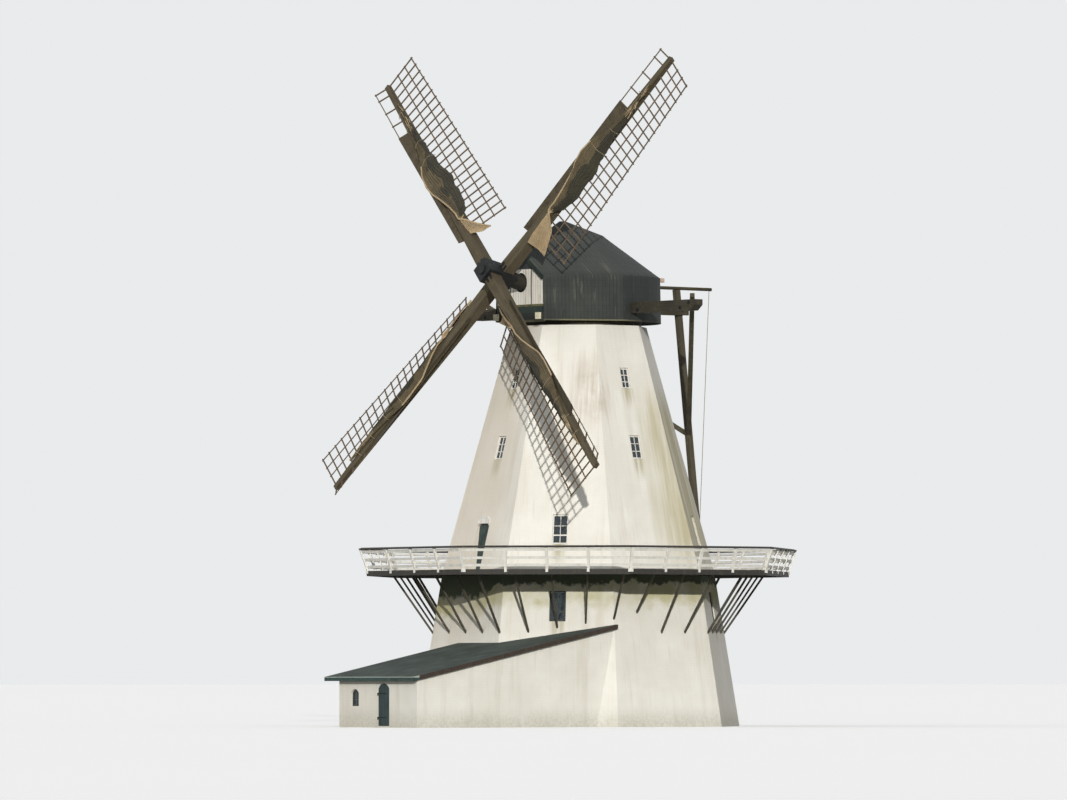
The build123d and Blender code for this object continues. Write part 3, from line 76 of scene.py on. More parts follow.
class Surface:
    """A material under construction, with short calls for its nodes."""

    def __init__(self, name, rough=0.8, metal=0.0, specular=0.3):
        self.material = bpy.data.materials.new(name)
        self.material.use_nodes = True
        self.tree = self.material.node_tree
        self.shader = self.tree.nodes["Principled BSDF"]
        self.shader.inputs["Roughness"].default_value = rough
        self.shader.inputs["Metallic"].default_value = metal
        self.shader.inputs["Specular IOR Level"].default_value = specular
        self.place = self.node("ShaderNodeTexCoord").outputs["Object"]

    def node(self, kind, **settings):
        made = self.tree.nodes.new(kind)
        for name, value in settings.items():
            setattr(made, name, value)
        return made

    def feed(self, socket, value):
        if isinstance(value, bpy.types.NodeSocket):
            self.tree.links.new(value, socket)
        elif isinstance(value, str):
            socket.default_value = linear(value)
        else:
            socket.default_value = value

    def math(self, operation, a, b=0.0, c=0.0):
        made = self.node("ShaderNodeMath", operation=operation)
        for socket, value in zip(made.inputs, (a, b, c)):
            self.feed(socket, value)
        return made.outputs[0]

    def vector(self, operation, a, b=(0, 0, 0)):
        made = self.node("ShaderNodeVectorMath", operation=operation)
        self.feed(made.inputs[0], a)
        self.feed(made.inputs[1], b)
        return made.outputs["Value"] if operation in ("DOT_PRODUCT", "LENGTH") else made.outputs[0]

    def split(self, value=None):
        made = self.node("ShaderNodeSeparateXYZ")
        self.feed(made.inputs[0], value or self.place)
        return made.outputs[0], made.outputs[1], made.outputs[2]

    def join(self, x, y, z):
        made = self.node("ShaderNodeCombineXYZ")
        for socket, value in zip(made.inputs, (x, y, z)):
            self.feed(socket, value)
        return made.outputs[0]

    def scaled(self, parts, factors):
        """A place whose three parts are each multiplied by a factor."""
        return self.join(*(self.math("MULTIPLY", part, factor) for part, factor in zip(parts, factors)))

    def noise(self, where, scale, detail=3.0, rough=0.55):
        made = self.node("ShaderNodeTexNoise")
        self.feed(made.inputs["Vector"], where)
        made.inputs["Scale"].default_value = scale
        made.inputs["Detail"].default_value = detail
        made.inputs["Roughness"].default_value = rough
        return made.outputs["Fac"]

    def between(self, value, low, high, out_low=0.0, out_high=1.0, smooth=True):
        made = self.node("ShaderNodeMapRange", interpolation_type="SMOOTHSTEP" if smooth else "LINEAR")
        for socket, number in zip(made.inputs, (value, low, high, out_low, out_high)):
            self.feed(socket, number)
        return made.outputs[0]

    def band(self, value, low, high, soft):
        """1 between low and high, fading over soft on both sides."""
        rise = self.between(value, low - soft, low + soft)
        fall = self.between(value, high - soft, high + soft, 1.0, 0.0)
        return self.math("MULTIPLY", rise, fall)

    def mix(self, share, a, b):
        made = self.node("ShaderNodeMix", data_type="RGBA")
        self.feed(made.inputs[0], share)
        self.feed(made.inputs[6], a)
        self.feed(made.inputs[7], b)
        return made.outputs[2]

    def bearing(self, x, y):
        """Degrees round the tower's axis."""
        return self.math("MULTIPLY", self.math("ARCTAN2", y, x), 180 / math.pi)

    def fold(self, degrees, step, turn=0.0):
        """Radians from the nearest of the tower's directions that are step degrees apart."""
        turned = self.math("ADD", degrees, 360 + step / 2 - math.degrees(TURN) + turn)
        folded = self.math("SUBTRACT", self.math("MODULO", turned, step), step / 2)
        return self.math("MULTIPLY", folded, math.pi / 180)

    def grooves(self, value, pitch, width):
        """1 on the lines between boards of one pitch, 0 on the boards."""
        share = self.math("FRACT", self.math("DIVIDE", value, pitch))
        middle = self.math("ABSOLUTE", self.math("SUBTRACT", share, 0.5))
        return self.between(middle, 0.5 - width / pitch, 0.5 - width / pitch / 3)

    def each(self, value, pitch):
        """A random number for each board of one pitch."""
        made = self.node("ShaderNodeTexWhiteNoise", noise_dimensions="1D")
        self.feed(made.inputs["W"], self.math("FLOOR", self.math("DIVIDE", value, pitch)))
        return made.outputs["Value"]

    def finish(self, colour, rough=None, height=None, depth=0.01, strength=0.6):
        self.feed(self.shader.inputs["Base Color"], colour)
        if rough is not None:
            self.feed(self.shader.inputs["Roughness"], rough)
        if height is not None:
            bump = self.node("ShaderNodeBump")
            bump.inputs["Strength"].default_value = strength
            bump.inputs["Distance"].default_value = depth
            self.feed(bump.inputs["Height"], height)
            self.feed(self.shader.inputs["Normal"], bump.outputs[0])
        return self.material


def masonry():
    """Lime wash over brick, with the stains of each place on the tower, and painted shade on the side turned
    from the light and in a band under the gallery.
    """
    s = Surface("lime_wash", rough=0.9, specular=0.2)
    x, y, z = s.split()
    normal = s.node("ShaderNodeNewGeometry").outputs["True Normal"]
    nx, ny = s.split(normal)[:2]
    across = s.vector("NORMALIZE", s.join(s.math("MULTIPLY", ny, -1.0), nx, 0.0))
    along = s.vector("DOT_PRODUCT", s.place, across)
    degrees = s.bearing(x, y)
    streak = s.noise(s.scaled((along, z, nx), (1.6, 0.11, 1.0)), 1.3, 4.0, 0.6)
    fine_streak = s.noise(s.scaled((along, z, ny), (5.0, 0.35, 1.0)), 1.5, 3.0)
    cloudy = s.noise(s.place, 0.55, 4.0, 0.6)
    grit = s.noise(s.place, 9.0, 3.0)
    colour = s.mix(s.between(cloudy, 0.35, 0.7), "#efece3", "#f8f6ef")
    colour = s.mix(s.math("MULTIPLY", s.between(streak, 0.5, 0.75), 0.35), colour, "#cfc6b4")
    colour = s.mix(s.math("MULTIPLY", s.between(fine_streak, 0.55, 0.8), 0.18), colour, "#b9ab94")
    # side under the sails, turned from the light: a pinkish tint that is partly weather stain and partly
    # painted shade
    front = s.band(degrees, -117.3, -72.3, 0.8)
    front = s.math("MULTIPLY", front, s.between(degrees, -92.0, -73.0, 1.0, 0.2))
    front = s.math("MULTIPLY", front, s.between(z, 2.0, 8.0, 0.45, 1.0))
    colour = s.mix(s.math("MULTIPLY", front, 0.42), colour, "#d6c6b0")
    # brown streaks below the cap on the corner towards the right
    corner = s.band(degrees, -44.0, -22.0, 9.0)
    corner = s.math("MULTIPLY", corner, s.band(z, 11.6, 14.0, 0.9))
    stained = s.math("ADD", s.math("MULTIPLY", fine_streak, 0.5), cloudy)
    corner = s.math("MULTIPLY", corner, s.between(stained, 0.62, 0.95))
    colour = s.mix(s.math("MULTIPLY", corner, 0.6), colour, "#b39c86")
    # algae on the corner away from the sun
    green = s.band(degrees, 2.0, 62.0, 7.0)
    green = s.math("MULTIPLY", green, s.band(z, 6.5, 12.6, 0.9))
    green = s.math("MULTIPLY", green, s.between(streak, 0.3, 0.6, 0.25, 1.0))
    colour = s.mix(s.math("MULTIPLY", green, 0.62), colour, "#b3a66e")
    # algae in the damp under the gallery: a yellow-green fringe, and above its ragged edge, set lower on the
    # side turned from the light as the gallery's shadow is, a dark band that is partly algae and partly
    # painted shadow of the gallery
    ragged = s.noise(s.place, 1.6, 5.0, 0.65)
    edge = s.math("SUBTRACT", 5.42, s.math("MULTIPLY", s.band(degrees, -135.0, -82.0, 14.0), 0.5))
    shift = s.math("MULTIPLY", s.math("SUBTRACT", ragged, 0.5), 1.1)
    below = s.math("SUBTRACT", s.math("ADD", z, shift), edge)
    damp = s.math("MULTIPLY", s.band(below, -0.75, 0.1, 0.3), s.between(cloudy, 0.35, 0.6, 0.3, 1.0))
    colour = s.mix(s.math("MULTIPLY", damp, 0.7), colour, "#b3ad68")
    # the dark band up to the deck: partly algae, partly painted shadow of the gallery
    algae_and_shadow = s.math("MULTIPLY", s.between(below, -0.06, 0.1), s.between(z, 5.94, 5.96, 1.0, 0.0))
    colour = s.mix(s.math("MULTIPLY", algae_and_shadow, 0.93), colour, "#46523a")
    # splashes at the foot
    foot = s.math("MULTIPLY", s.between(z, 0.0, 0.9, 1.0, 0.0), s.between(grit, 0.3, 0.7, 0.5, 1.0))
    colour = s.mix(s.math("MULTIPLY", foot, 0.45), colour, "#a3a08a")
    # run-off below the window sills, two rows of them on every second side
    radius = s.vector("LENGTH", s.join(x, y, 0.0))
    drips = None
    for turn, sills in ((0, (MIDDLE[1], UPPER[1])), (45, (LOWER[1], STAGE[1]))):
        folded = s.fold(degrees, 90.0, turn)
        aside = s.math("MULTIPLY", radius, s.math("SINE", folded))
        under = s.between(s.math("ABSOLUTE", aside), 0.08, 0.36, 1.0, 0.0)
        for sill in sills:
            fading = s.between(z, sill - 0.95, sill - 0.1)
            drip = s.math("MULTIPLY", fading, s.between(z, sill, sill + 0.03, 1.0, 0.0))
            drip = s.math("MULTIPLY", drip, under)
            drips = drip if drips is None else s.math("ADD", drips, drip)
    drips = s.math("MULTIPLY", drips, s.between(fine_streak, 0.3, 0.6, 0.25, 1.0))
    colour = s.mix(s.math("MULTIPLY", drips, 0.6), colour, "#9f945c")
    # brick courses show faintly through the wash
    brick = s.node("ShaderNodeTexBrick", offset=0.5)
    s.feed(brick.inputs["Vector"], s.join(along, z, 0.0))
    brick.inputs["Scale"].default_value = 1.0
    brick.inputs["Brick Width"].default_value = 0.24
    brick.inputs["Row Height"].default_value = 0.075
    brick.inputs["Mortar Size"].default_value = 0.006
    brick.inputs["Mortar Smooth"].default_value = 0.6
    joints = brick.outputs["Fac"]
    colour = s.mix(s.math("MULTIPLY", joints, 0.13), colour, "#b8ae9c")
    height = s.math("ADD", s.math("MULTIPLY", grit, 0.5), s.math("MULTIPLY", joints, -0.6))
    return s.finish(colour, s.between(cloudy, 0.3, 0.7, 0.82, 0.95), height, 0.006, 0.5)


def timber(name, run, side, base, dark, light, grain=1.0, lichen=0.0, rough=0.85):
    """Weathered timber with its grain along run, and side square to it."""
    s = Surface(name, rough=rough, specular=0.25)
    along = s.vector("DOT_PRODUCT", s.place, tuple(run))
    across = s.vector("DOT_PRODUCT", s.place, tuple(side))
    third = s.vector("DOT_PRODUCT", s.place, tuple(Vector(run).cross(Vector(side))))
    fibre = s.noise(s.scaled((along, across, third), (0.8, 26 * grain, 26 * grain)), 1.0, 5.0, 0.65)
    patch = s.noise(s.scaled((along, across, third), (0.6, 3.0, 1.0)), 1.2, 3.0)
    colour = s.mix(s.between(patch, 0.3, 0.7), base, light)
    colour = s.mix(s.between(fibre, 0.52, 0.72), colour, dark)
    if lichen:
        spots = s.between(s.noise(s.place, 5.5, 4.0, 0.7), 0.56, 0.7)
        colour = s.mix(s.math("MULTIPLY", spots, lichen), colour, "#77763a")
    return s.finish(colour, s.between(fibre, 0.3, 0.7, rough - 0.1, rough + 0.05), fibre, 0.006, 0.7)


def painted(name, base, dirt, wear=0.3, rough=0.6, board=None):
    """Paint on wood, dirty in streaks, with the joints of boards where their axis and pitch are given."""
    s = Surface(name, rough=rough, specular=0.35)
    grime = s.noise(s.scaled(s.split(), (3.0, 3.0, 0.9)), 1.6, 4.0, 0.6)
    flakes = s.noise(s.place, 18.0, 4.0, 0.7)
    colour = s.mix(s.math("MULTIPLY", s.between(grime, 0.42, 0.72), wear), base, dirt)
    colour = s.mix(s.math("MULTIPLY", s.between(flakes, 0.64, 0.72), wear), colour, "#6d6657")
    height = s.math("MULTIPLY", flakes, 0.3)
    if board:
        axis, pitch = board
        value = s.vector("DOT_PRODUCT", s.place, axis)
        line = s.grooves(value, pitch, 0.012)
        shade = s.math("MULTIPLY", s.each(value, pitch), 0.22)
        colour = s.mix(shade, colour, dirt)
        colour = s.mix(s.math("MULTIPLY", line, 0.85), colour, "#3b372f")
        height = s.math("SUBTRACT", height, line)
    return s.finish(colour, s.between(grime, 0.3, 0.7, rough, rough + 0.2), height, 0.008, 0.7)


def frame_paint():
    """White frames above the gallery, dark ones below it."""
    s = Surface("frame_paint", rough=0.6, specular=0.35)
    height = s.split()[2]
    grime = s.noise(s.place, 7.0, 4.0, 0.65)
    flakes = s.noise(s.place, 26.0, 3.0, 0.7)
    pale = s.mix(s.math("MULTIPLY", s.between(grime, 0.45, 0.75), 0.5), "#eeece6", "#b4b09e")
    dark = s.mix(s.between(grime, 0.4, 0.7), "#454d49", "#2f3532")
    colour = s.mix(s.between(height, 5.3, 5.4), dark, pale)
    return s.finish(colour, s.between(flakes, 0.3, 0.8, 0.5, 0.8), flakes, 0.003, 0.5)


def gallery_door():
    """Grey-green paint on boards, worn by the weather."""
    s = Surface("gallery_door_paint", rough=0.65, specular=0.3)
    across = s.vector("DOT_PRODUCT", s.place, FRONT_ACROSS)
    grime = s.noise(s.scaled(s.split(), (3.0, 3.0, 1.0)), 2.2, 4.0, 0.6)
    boards = s.mix(s.between(grime, 0.4, 0.7), "#43514f", "#303c3b")
    boards = s.mix(s.math("MULTIPLY", s.each(across, 0.125), 0.3), boards, "#2b3433")
    return s.finish(boards, s.between(grime, 0.3, 0.7, 0.6, 0.8), grime, 0.004, 0.6)


def gable_boarding():
    """Pale upright boards with a hatch between two dark joints, and dark boards above."""
    s = Surface("gable_paint", rough=0.65, specular=0.3)
    x, y, z = s.split()
    line = s.grooves(x, 0.145, 0.010)
    tone = s.each(x, 0.145)
    grime = s.noise(s.scaled((x, y, z), (5.0, 1.0, 0.8)), 1.5, 4.0, 0.6)
    colour = s.mix(s.math("MULTIPLY", tone, 0.5), "#fbf7ee", "#f1eadd")
    colour = s.mix(s.math("MULTIPLY", s.between(grime, 0.5, 0.75), 0.5), colour, "#a89c86")
    colour = s.mix(s.math("MULTIPLY", line, 0.6), colour, "#5d5547")
    joint = s.band(s.math("ABSOLUTE", x), 0.60, 0.645, 0.008)
    colour = s.mix(joint, colour, "#23221e")
    top = s.between(z, 17.46, 17.50)
    dark = s.mix(s.math("MULTIPLY", tone, 0.5), "#33373a", "#424744")
    colour = s.mix(top, colour, s.mix(s.math("MULTIPLY", line, 0.7), dark, "#191b1c"))
    height = s.math("SUBTRACT", s.math("MULTIPLY", tone, 0.3), s.math("ADD", line, joint))
    return s.finish(colour, None, height, 0.01, 0.8)


def sill_paint():
    """Dark paint, with an olive strip along the top."""
    s = Surface("sill_paint", rough=0.65, specular=0.3)
    height = s.split()[2]
    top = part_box("cap_sill_beam")[1][2]
    grime = s.noise(s.place, 3.5, 4.0, 0.65)
    dark = s.mix(s.between(grime, 0.4, 0.7), "#293534", "#3c443c")
    olive = s.mix(s.between(grime, 0.4, 0.7), "#6c6a48", "#4f5038")
    colour = s.mix(s.between(height, top - 0.09, top - 0.07), dark, olive)
    return s.finish(colour, s.between(grime, 0.3, 0.7, 0.6, 0.8), grime, 0.006, 0.6)


def trim_paint():
    """Brown verges, and a teal eave board with a pale drip edge."""
    s = Surface("trim_paint", rough=0.65, specular=0.3)
    ahead = s.vector("DOT_PRODUCT", s.place, (math.sin(TURN), -math.cos(TURN), 0))
    height = s.split()[2]
    eave = s.between(ahead, ANNEX_FRONT, ANNEX_FRONT + 0.02)
    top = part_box("annex_roof_trim")[0][2] + 0.16
    grime = s.noise(s.place, 5.0, 4.0, 0.65)
    brown = s.mix(s.between(grime, 0.4, 0.7), "#39302a", "#4b4038")
    teal = s.mix(s.between(grime, 0.4, 0.7), "#3a4c48", "#2c3a38")
    board = s.mix(s.between(height, top - 0.03, top - 0.025), teal, "#aab4ae")
    colour = s.mix(eave, brown, board)
    return s.finish(colour, s.between(grime, 0.3, 0.7, 0.6, 0.8), grime, 0.005, 0.6)


def painted_ends(name, front):
    """Timber along the cap with its front end painted white."""
    s = Surface(name, rough=0.8, specular=0.3)
    x, y, z = s.split()
    fibre = s.noise(s.scaled((x, y, z), (26, 0.8, 26)), 1.0, 5.0, 0.65)
    chips = s.noise(s.place, 14.0, 4.0, 0.7)
    wood = s.mix(s.between(fibre, 0.45, 0.7), "#3f4239", "#2b2d27")
    paint = s.mix(s.between(chips, 0.5, 0.72), "#e9e3c9", "#a99f7c")
    edge = s.math("ADD", y, s.math("MULTIPLY", chips, 0.04))
    colour = s.mix(s.between(edge, front + 0.10, front + 0.13), paint, wood)
    return s.finish(colour, s.between(fibre, 0.3, 0.7, 0.7, 0.88), fibre, 0.006, 0.7)


def cap_boarding():
    """Tarred boards that run round the stern and straight along the sides, worn pale lower down, with painted
    light on the roof above the knee and in part on the pale lower edge.
    """
    s = Surface("tarred_boards", rough=0.78, specular=0.3)
    x, y, z = s.split()
    aft = s.math("ADD", y, 0.3)
    angle = s.math("ARCTAN2", x, s.math("MULTIPLY", aft, 0.8))
    round_stern = s.math("MULTIPLY", angle, 2.9)
    side = s.math("SIGN", x)
    straight = s.math("MULTIPLY", side, s.math("SUBTRACT", 2.9 * math.pi / 2, aft))
    ahead = s.math("LESS_THAN", aft, 0.0)
    around = s.math("ADD", s.math("MULTIPLY", ahead, straight),
                    s.math("MULTIPLY", s.math("SUBTRACT", 1.0, ahead), round_stern))
    pitch = 0.125
    line = s.grooves(around, pitch, 0.011)
    tone = s.each(around, pitch)
    laps = s.grooves(z, 0.24, 0.010)
    streak = s.noise(s.join(s.math("MULTIPLY", around, 4.5), s.math("MULTIPLY", z, 0.4), 0.0), 1.4, 5.0, 0.65)
    fade = s.noise(s.join(around, z, 0.0), 0.45, 3.0)
    colour = s.mix(s.math("MULTIPLY", tone, 0.5), "#303433", "#3c403e")
    colour = s.mix(s.math("MULTIPLY", s.between(fade, 0.4, 0.7), 0.5), colour, "#484b46")
    # painted light: the boards above the knee are painted lighter, to even out the lesser light that falls on
    # the roof slope
    colour = s.mix(s.math("MULTIPLY", s.between(z, 17.1, 17.5), 0.35), colour, "#5a5e5b")
    pale = s.math("MULTIPLY", s.between(streak, 0.5, 0.72), s.band(z, 16.2, 17.9, 0.5))
    pale = s.math("MULTIPLY", pale, s.between(fade, 0.42, 0.6, 0.15, 1.0))
    colour = s.mix(s.math("MULTIPLY", pale, 0.6), colour, "#86847a")
    low = s.math("MULTIPLY", s.between(streak, 0.54, 0.7), s.band(z, 15.7, 16.2, 0.3))
    colour = s.mix(s.math("MULTIPLY", low, 0.3), colour, "#7d786a")
    colour = s.mix(s.math("MULTIPLY", line, 0.35), colour, "#1b1d1e")
    colour = s.mix(s.math("MULTIPLY", laps, 0.25), colour, "#1f2121")
    # a pale strip along the lower edge, fading towards the stern: partly a light wooden strip, partly painted
    # light
    edge = s.math("MULTIPLY", s.between(z, 15.545, 15.56, 1.0, 0.0), s.between(fade, 0.4, 0.55, 0.25, 1.0))
    colour = s.mix(s.math("MULTIPLY", edge, s.between(y, 0.6, 1.8, 0.9, 0.1)), colour, "#7d795f")
    joints = s.math("ADD", line, s.math("MULTIPLY", laps, 0.3))
    height = s.math("SUBTRACT", s.math("MULTIPLY", tone, 0.4), joints)
    return s.finish(colour, s.between(streak, 0.3, 0.8, 0.7, 0.9), height, 0.009, 0.6)


def felt():
    """Roofing felt in strips a metre wide."""
    s = Surface("roof_felt", rough=0.88, specular=0.25)
    across = s.vector("DOT_PRODUCT", s.place, FRONT_ACROSS)
    seam = s.grooves(across, 1.0, 0.022)
    mottle = s.noise(s.place, 1.1, 5.0, 0.65)
    grit = s.noise(s.place, 60.0, 2.0)
    colour = s.mix(s.between(mottle, 0.35, 0.7), "#434b48", "#56605b")
    colour = s.mix(s.math("MULTIPLY", s.between(grit, 0.5, 0.7), 0.3), colour, "#6b7069")
    colour = s.mix(s.math("MULTIPLY", seam, 0.5), colour, "#2c3231")
    height = s.math("ADD", s.math("MULTIPLY", grit, 0.25), seam)
    return s.finish(colour, None, height, 0.008, 0.6)


def canvas(name, base, light, dark):
    """Old sailcloth, stained and creased."""
    s = Surface(name, rough=0.92, specular=0.15)
    weave = s.noise(s.place, 120.0, 2.0)
    stain = s.noise(s.place, 1.4, 5.0, 0.7)
    crease = s.noise(s.place, 9.0, 4.0, 0.6)
    colour = s.mix(s.between(stain, 0.35, 0.65), base, light)
    colour = s.mix(s.math("MULTIPLY", s.between(crease, 0.5, 0.75), 0.55), colour, dark)
    s.shader.inputs["Sheen Weight"].default_value = 0.15
    height = s.math("ADD", s.math("MULTIPLY", crease, 0.8), s.math("MULTIPLY", weave, 0.15))
    return s.finish(colour, None, height, 0.012, 0.7)


def iron(name, base, wear, rough=0.55):
    """Tarred iron, pitted and worn in patches."""
    s = Surface(name, rough=rough, metal=0.15, specular=0.4)
    patch = s.noise(s.place, 6.0, 5.0, 0.7)
    pits = s.noise(s.place, 55.0, 3.0)
    colour = s.mix(s.between(patch, 0.5, 0.75), base, wear)
    return s.finish(colour, s.between(patch, 0.3, 0.7, rough, rough + 0.25), pits, 0.003, 0.5)


def dark_glass():
    """Uneven old panes with a dark room behind them."""
    s = Surface("old_glass", rough=0.08, specular=0.5)
    wave = s.noise(s.place, 3.0, 2.0)
    grime = s.noise(s.place, 12.0, 4.0, 0.7)
    colour = s.mix(s.between(grime, 0.45, 0.8), "#2a343a", "#4d575b")
    return s.finish(colour, s.between(grime, 0.4, 0.8, 0.06, 0.3), wave, 0.02, 0.15)


def deck_boards():
    """Boards that follow the sides of the gallery."""
    s = Surface("deck_boards", rough=0.85, specular=0.25)
    x, y = s.split()[:2]
    folded = s.fold(s.bearing(x, y), 45.0)
    radius = s.vector("LENGTH", s.join(x, y, 0.0))
    out = s.math("MULTIPLY", radius, s.math("COSINE", folded))
    along = s.math("MULTIPLY", radius, s.math("SINE", folded))
    line = s.grooves(out, 0.145, 0.01)
    tone = s.each(out, 0.145)
    fibre = s.noise(s.join(s.math("MULTIPLY", along, 0.8), s.math("MULTIPLY", out, 24), 0.0), 1.0, 4.0, 0.6)
    colour = s.mix(tone, "#6c675c", "#7d7767")
    colour = s.mix(s.between(fibre, 0.5, 0.75), colour, "#4f4a40")
    colour = s.mix(s.math("MULTIPLY", line, 0.9), colour, "#25221d")
    height = s.math("SUBTRACT", s.math("MULTIPLY", fibre, 0.4), line)
    return s.finish(colour, None, height, 0.01, 0.8)


def arm_axes(angle):
    """Directions of one arm: across towards its trailing edge, and outwards."""
    turn = math.radians(angle)
    side = Vector((1, 0, 0)) * math.cos(turn) - UP * math.sin(turn)
    out = Vector((1, 0, 0)) * math.sin(turn) + UP * math.cos(turn)
    return side, out


INNER_SIDE, INNER_OUT = arm_axes(INNER_ANGLE)
OUTER_SIDE, OUTER_OUT = arm_axes(INNER_ANGLE - 90)
ALONG_X, ALONG_Y, ALONG_Z = (1, 0, 0), (0, 1, 0), (0, 0, 1)
POLE_RUN = Vector((0, 1.2, -10.535)).normalized()

WASH = masonry()
CAP_BOARDS = cap_boarding()
GLASS = dark_glass()
DECK_WOOD = deck_boards()
FELT = felt()
WHITE = painted("white_paint", "#eeece6", "#b9b5a4", wear=0.35)
GABLE = gable_boarding()
FRAMES = frame_paint()
SILL = sill_paint()
DOOR = painted("door_paint", "#2f4244", "#1f2a2b", wear=0.35, board=(FRONT_ACROSS, 0.115))
GALLERY_DOOR = gallery_door()
VERGE = painted("verge_paint", "#252f2b", "#3d4641", wear=0.5)
TRIM = trim_paint()
DARK = painted("dark_paint", "#33312e", "#514d45", wear=0.6)
CREAM_PAINT = painted("cream_paint", "#c8b0a0", "#93806f", wear=0.5)
DARK_FRAME = painted("dark_frame_paint", "#454d49", "#2c322f", wear=0.5)
BLACK_IRON = iron("black_iron", "#17191b", "#2e2a26")
INNER_WOOD = timber("inner_stock_wood", INNER_OUT, INNER_SIDE, "#544c3d", "#342e25", "#635a49", lichen=0.35)
OUTER_WOOD = timber("outer_stock_wood", OUTER_OUT, OUTER_SIDE, "#544c3d", "#342e25", "#635a49", lichen=0.35)
LATTICE = timber("lattice_wood", UP, ALONG_X, "#655748", "#42372c", "#756656", 0.5, lichen=0.15)
BOARDING = timber("leading_board_wood", UP, ALONG_X, "#4c4538", "#312b23", "#5a5142", 0.6, lichen=0.35)
BEAM_X = timber("beam_wood", ALONG_X, ALONG_Y, "#3a372f", "#282620", "#474239", lichen=0.25)
BEAM_Y = timber("long_beam_wood", ALONG_Y, ALONG_X, "#3d392e", "#28251f", "#4d4739", lichen=0.35)
SHEER_WOOD = painted_ends("sheer_wood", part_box("cap_sheers")[0][1])
STRUT_WOOD = timber("strut_wood", ALONG_Z, ALONG_X, "#4b483f", "#302e29", "#5c584c", lichen=0.2)
POLE_WOOD = timber("pole_wood", POLE_RUN, ALONG_X, "#4e493d", "#312d25", "#5d5748", lichen=0.3)
SHAFT_WOOD = timber("shaft_wood", FORWARD, ALONG_X, "#2b2a26", "#1b1a18", "#3a3730")
FLOOR_WOOD = timber("floor_wood", ALONG_X, ALONG_Y, "#6a6152", "#4b4438", "#7a705e")
CLOTH = canvas("furled_canvas", "#5f5543", "#71664f", "#433c30")
SHADED = canvas("shaded_canvas", "#3f3d33", "#4b483c", "#2c2c25")
CREAM = canvas("cream_canvas", "#ad9876", "#bda888", "#8b7758")
ROPE = canvas("rope_fibre", "#8d8067", "#a5987c", "#6a5f4b")

FINISHES = {
    WASH: ["base_walls_square", "base_walls_diagonal", "upper_walls_square", "upper_walls_diagonal",
           "annex_front_walls", "annex_door_lintel", "annex_side_walls", "annex_floor"],
    DECK_WOOD: ["gallery_deck"],
    FLOOR_WOOD: ["tower_floors"],
    BEAM_X: ["long_crossbeam", "weather_beam", "rear_tie_beam", "neck_block", "tail_block", "curb_ring"],
    BEAM_Y: ["tail_beams", "brake_lever"],
    SHEER_WOOD: ["cap_sheers"],
    STRUT_WOOD: ["gallery_struts"],
    POLE_WOOD: ["tail_pole", "tail_braces"],
    INNER_WOOD: ["inner_stock"],
    OUTER_WOOD: ["outer_stock"],
    LATTICE: ["inner_sail_lattices", "outer_sail_lattices", "leading_ladders"],
    BOARDING: ["leading_boards"],
    BLACK_IRON: ["sail_hub", "annex_door_straps", "annex_door_pintles"],
    SHAFT_WOOD: ["windshaft"],
    DARK: ["gallery_joists", "gallery_rim", "gallery_handrails"],
    WHITE: ["gallery_corner_posts", "gallery_railing_square", "gallery_railing_diagonal"],
    FRAMES: ["window_frames"],
    GLASS: ["window_panes"],
    GALLERY_DOOR: ["gallery_doors"],
    DOOR: ["annex_door"],
    CAP_BOARDS: ["cap_shell", "cap_apron"],
    GABLE: ["cap_gable"],
    SILL: ["cap_sill_beam"],
    VERGE: ["gable_verge_boards"],
    FELT: ["annex_roof"],
    TRIM: ["annex_roof_trim"],
    ROPE: ["brake_rope"],
    CLOTH: ["furled_cloths"],
}
for material, nodes in FINISHES.items():
    for name in nodes:
        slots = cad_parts[name].data.materials
        for i in range(len(slots)):
            slots[i] = material


def blend(low, high, share):
    """A number part of the way from low to high."""
    return low + (high - low) * share


def stock_share(radius):
    """How far a place on a stock is from its straight middle towards its tip."""
    return max(0.0, (radius - STOCK_STRAIGHT) / (SAIL_TIP - STOCK_STRAIGHT))


def add_mesh(name, points, faces, material, body, slot, smooth=False):
    """A new piece that rides on a body, with its material; its slot argument is not used."""
    data = bpy.data.meshes.new(name)
    data.from_pydata([tuple(p) for p in points], [], faces)
    data.validate()
    data.update()
    if smooth:
        data.polygons.foreach_set("use_smooth", [True] * len(data.polygons))
    data.materials.append(material)
    made = bpy.data.objects.new(name, data)
    bpy.context.scene.collection.objects.link(made)
    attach(made, body)
    return made


def block(points, faces, origin, x_axis, y_axis, z_axis, size, bevel=0.15):
    """Adds a box with chamfered long edges, centred on origin, to a mesh in the making."""
    start = len(points)
    hx, hy, hz = (s / 2 for s in size)
    cut = min(hx, hy) * bevel
    ring = [(-hx + cut, -hy), (hx - cut, -hy), (hx, -hy + cut), (hx, hy - cut),
            (hx - cut, hy), (-hx + cut, hy), (-hx, hy - cut), (-hx, -hy + cut)]
    for z in (-hz, hz):
        for x, y in ring:
            points.append(origin + x_axis * x + y_axis * y + z_axis * z)
    count = len(ring)
    for i in range(count):
        j = (i + 1) % count
        faces.append((start + i, start + j, start + count + j, start + count + i))
    faces.append(tuple(start + i for i in reversed(range(count))))
    faces.append(tuple(start + count + i for i in range(count)))


def side_axes(side):
    """Outward, sideways and up directions of one side of the tower."""
    turn = TURN + math.radians(45 * side)
    out = Vector((math.cos(turn), math.sin(turn), 0))
    return out, Vector((-out.y, out.x, 0)), Vector((0, 0, 1))


def tower_radius(z):
    """Corner radius of the tower's outside at a height."""
    if z <= DECK:
        return blend(GROUND_RADIUS, DECK_RADIUS, z / DECK)
    return blend(DECK_RADIUS, TOP_RADIUS, (z - DECK) / (WALL_TOP - DECK))


def face_distance(z):
    """From the tower's axis to the middle of a side."""
    return tower_radius(z) * APOTHEM


CASEMENT_REVEAL, CASEMENT_WOOD, BAR_DEPTH = 0.04, 0.044, 0.034
# share of the height, and thickness, of each crossbar in a tall and in a low window
TALL_BARS, LOW_BARS = ((0.30, 0.05), (0.62, 0.026)), ((0.33, 0.03), (0.66, 0.026))


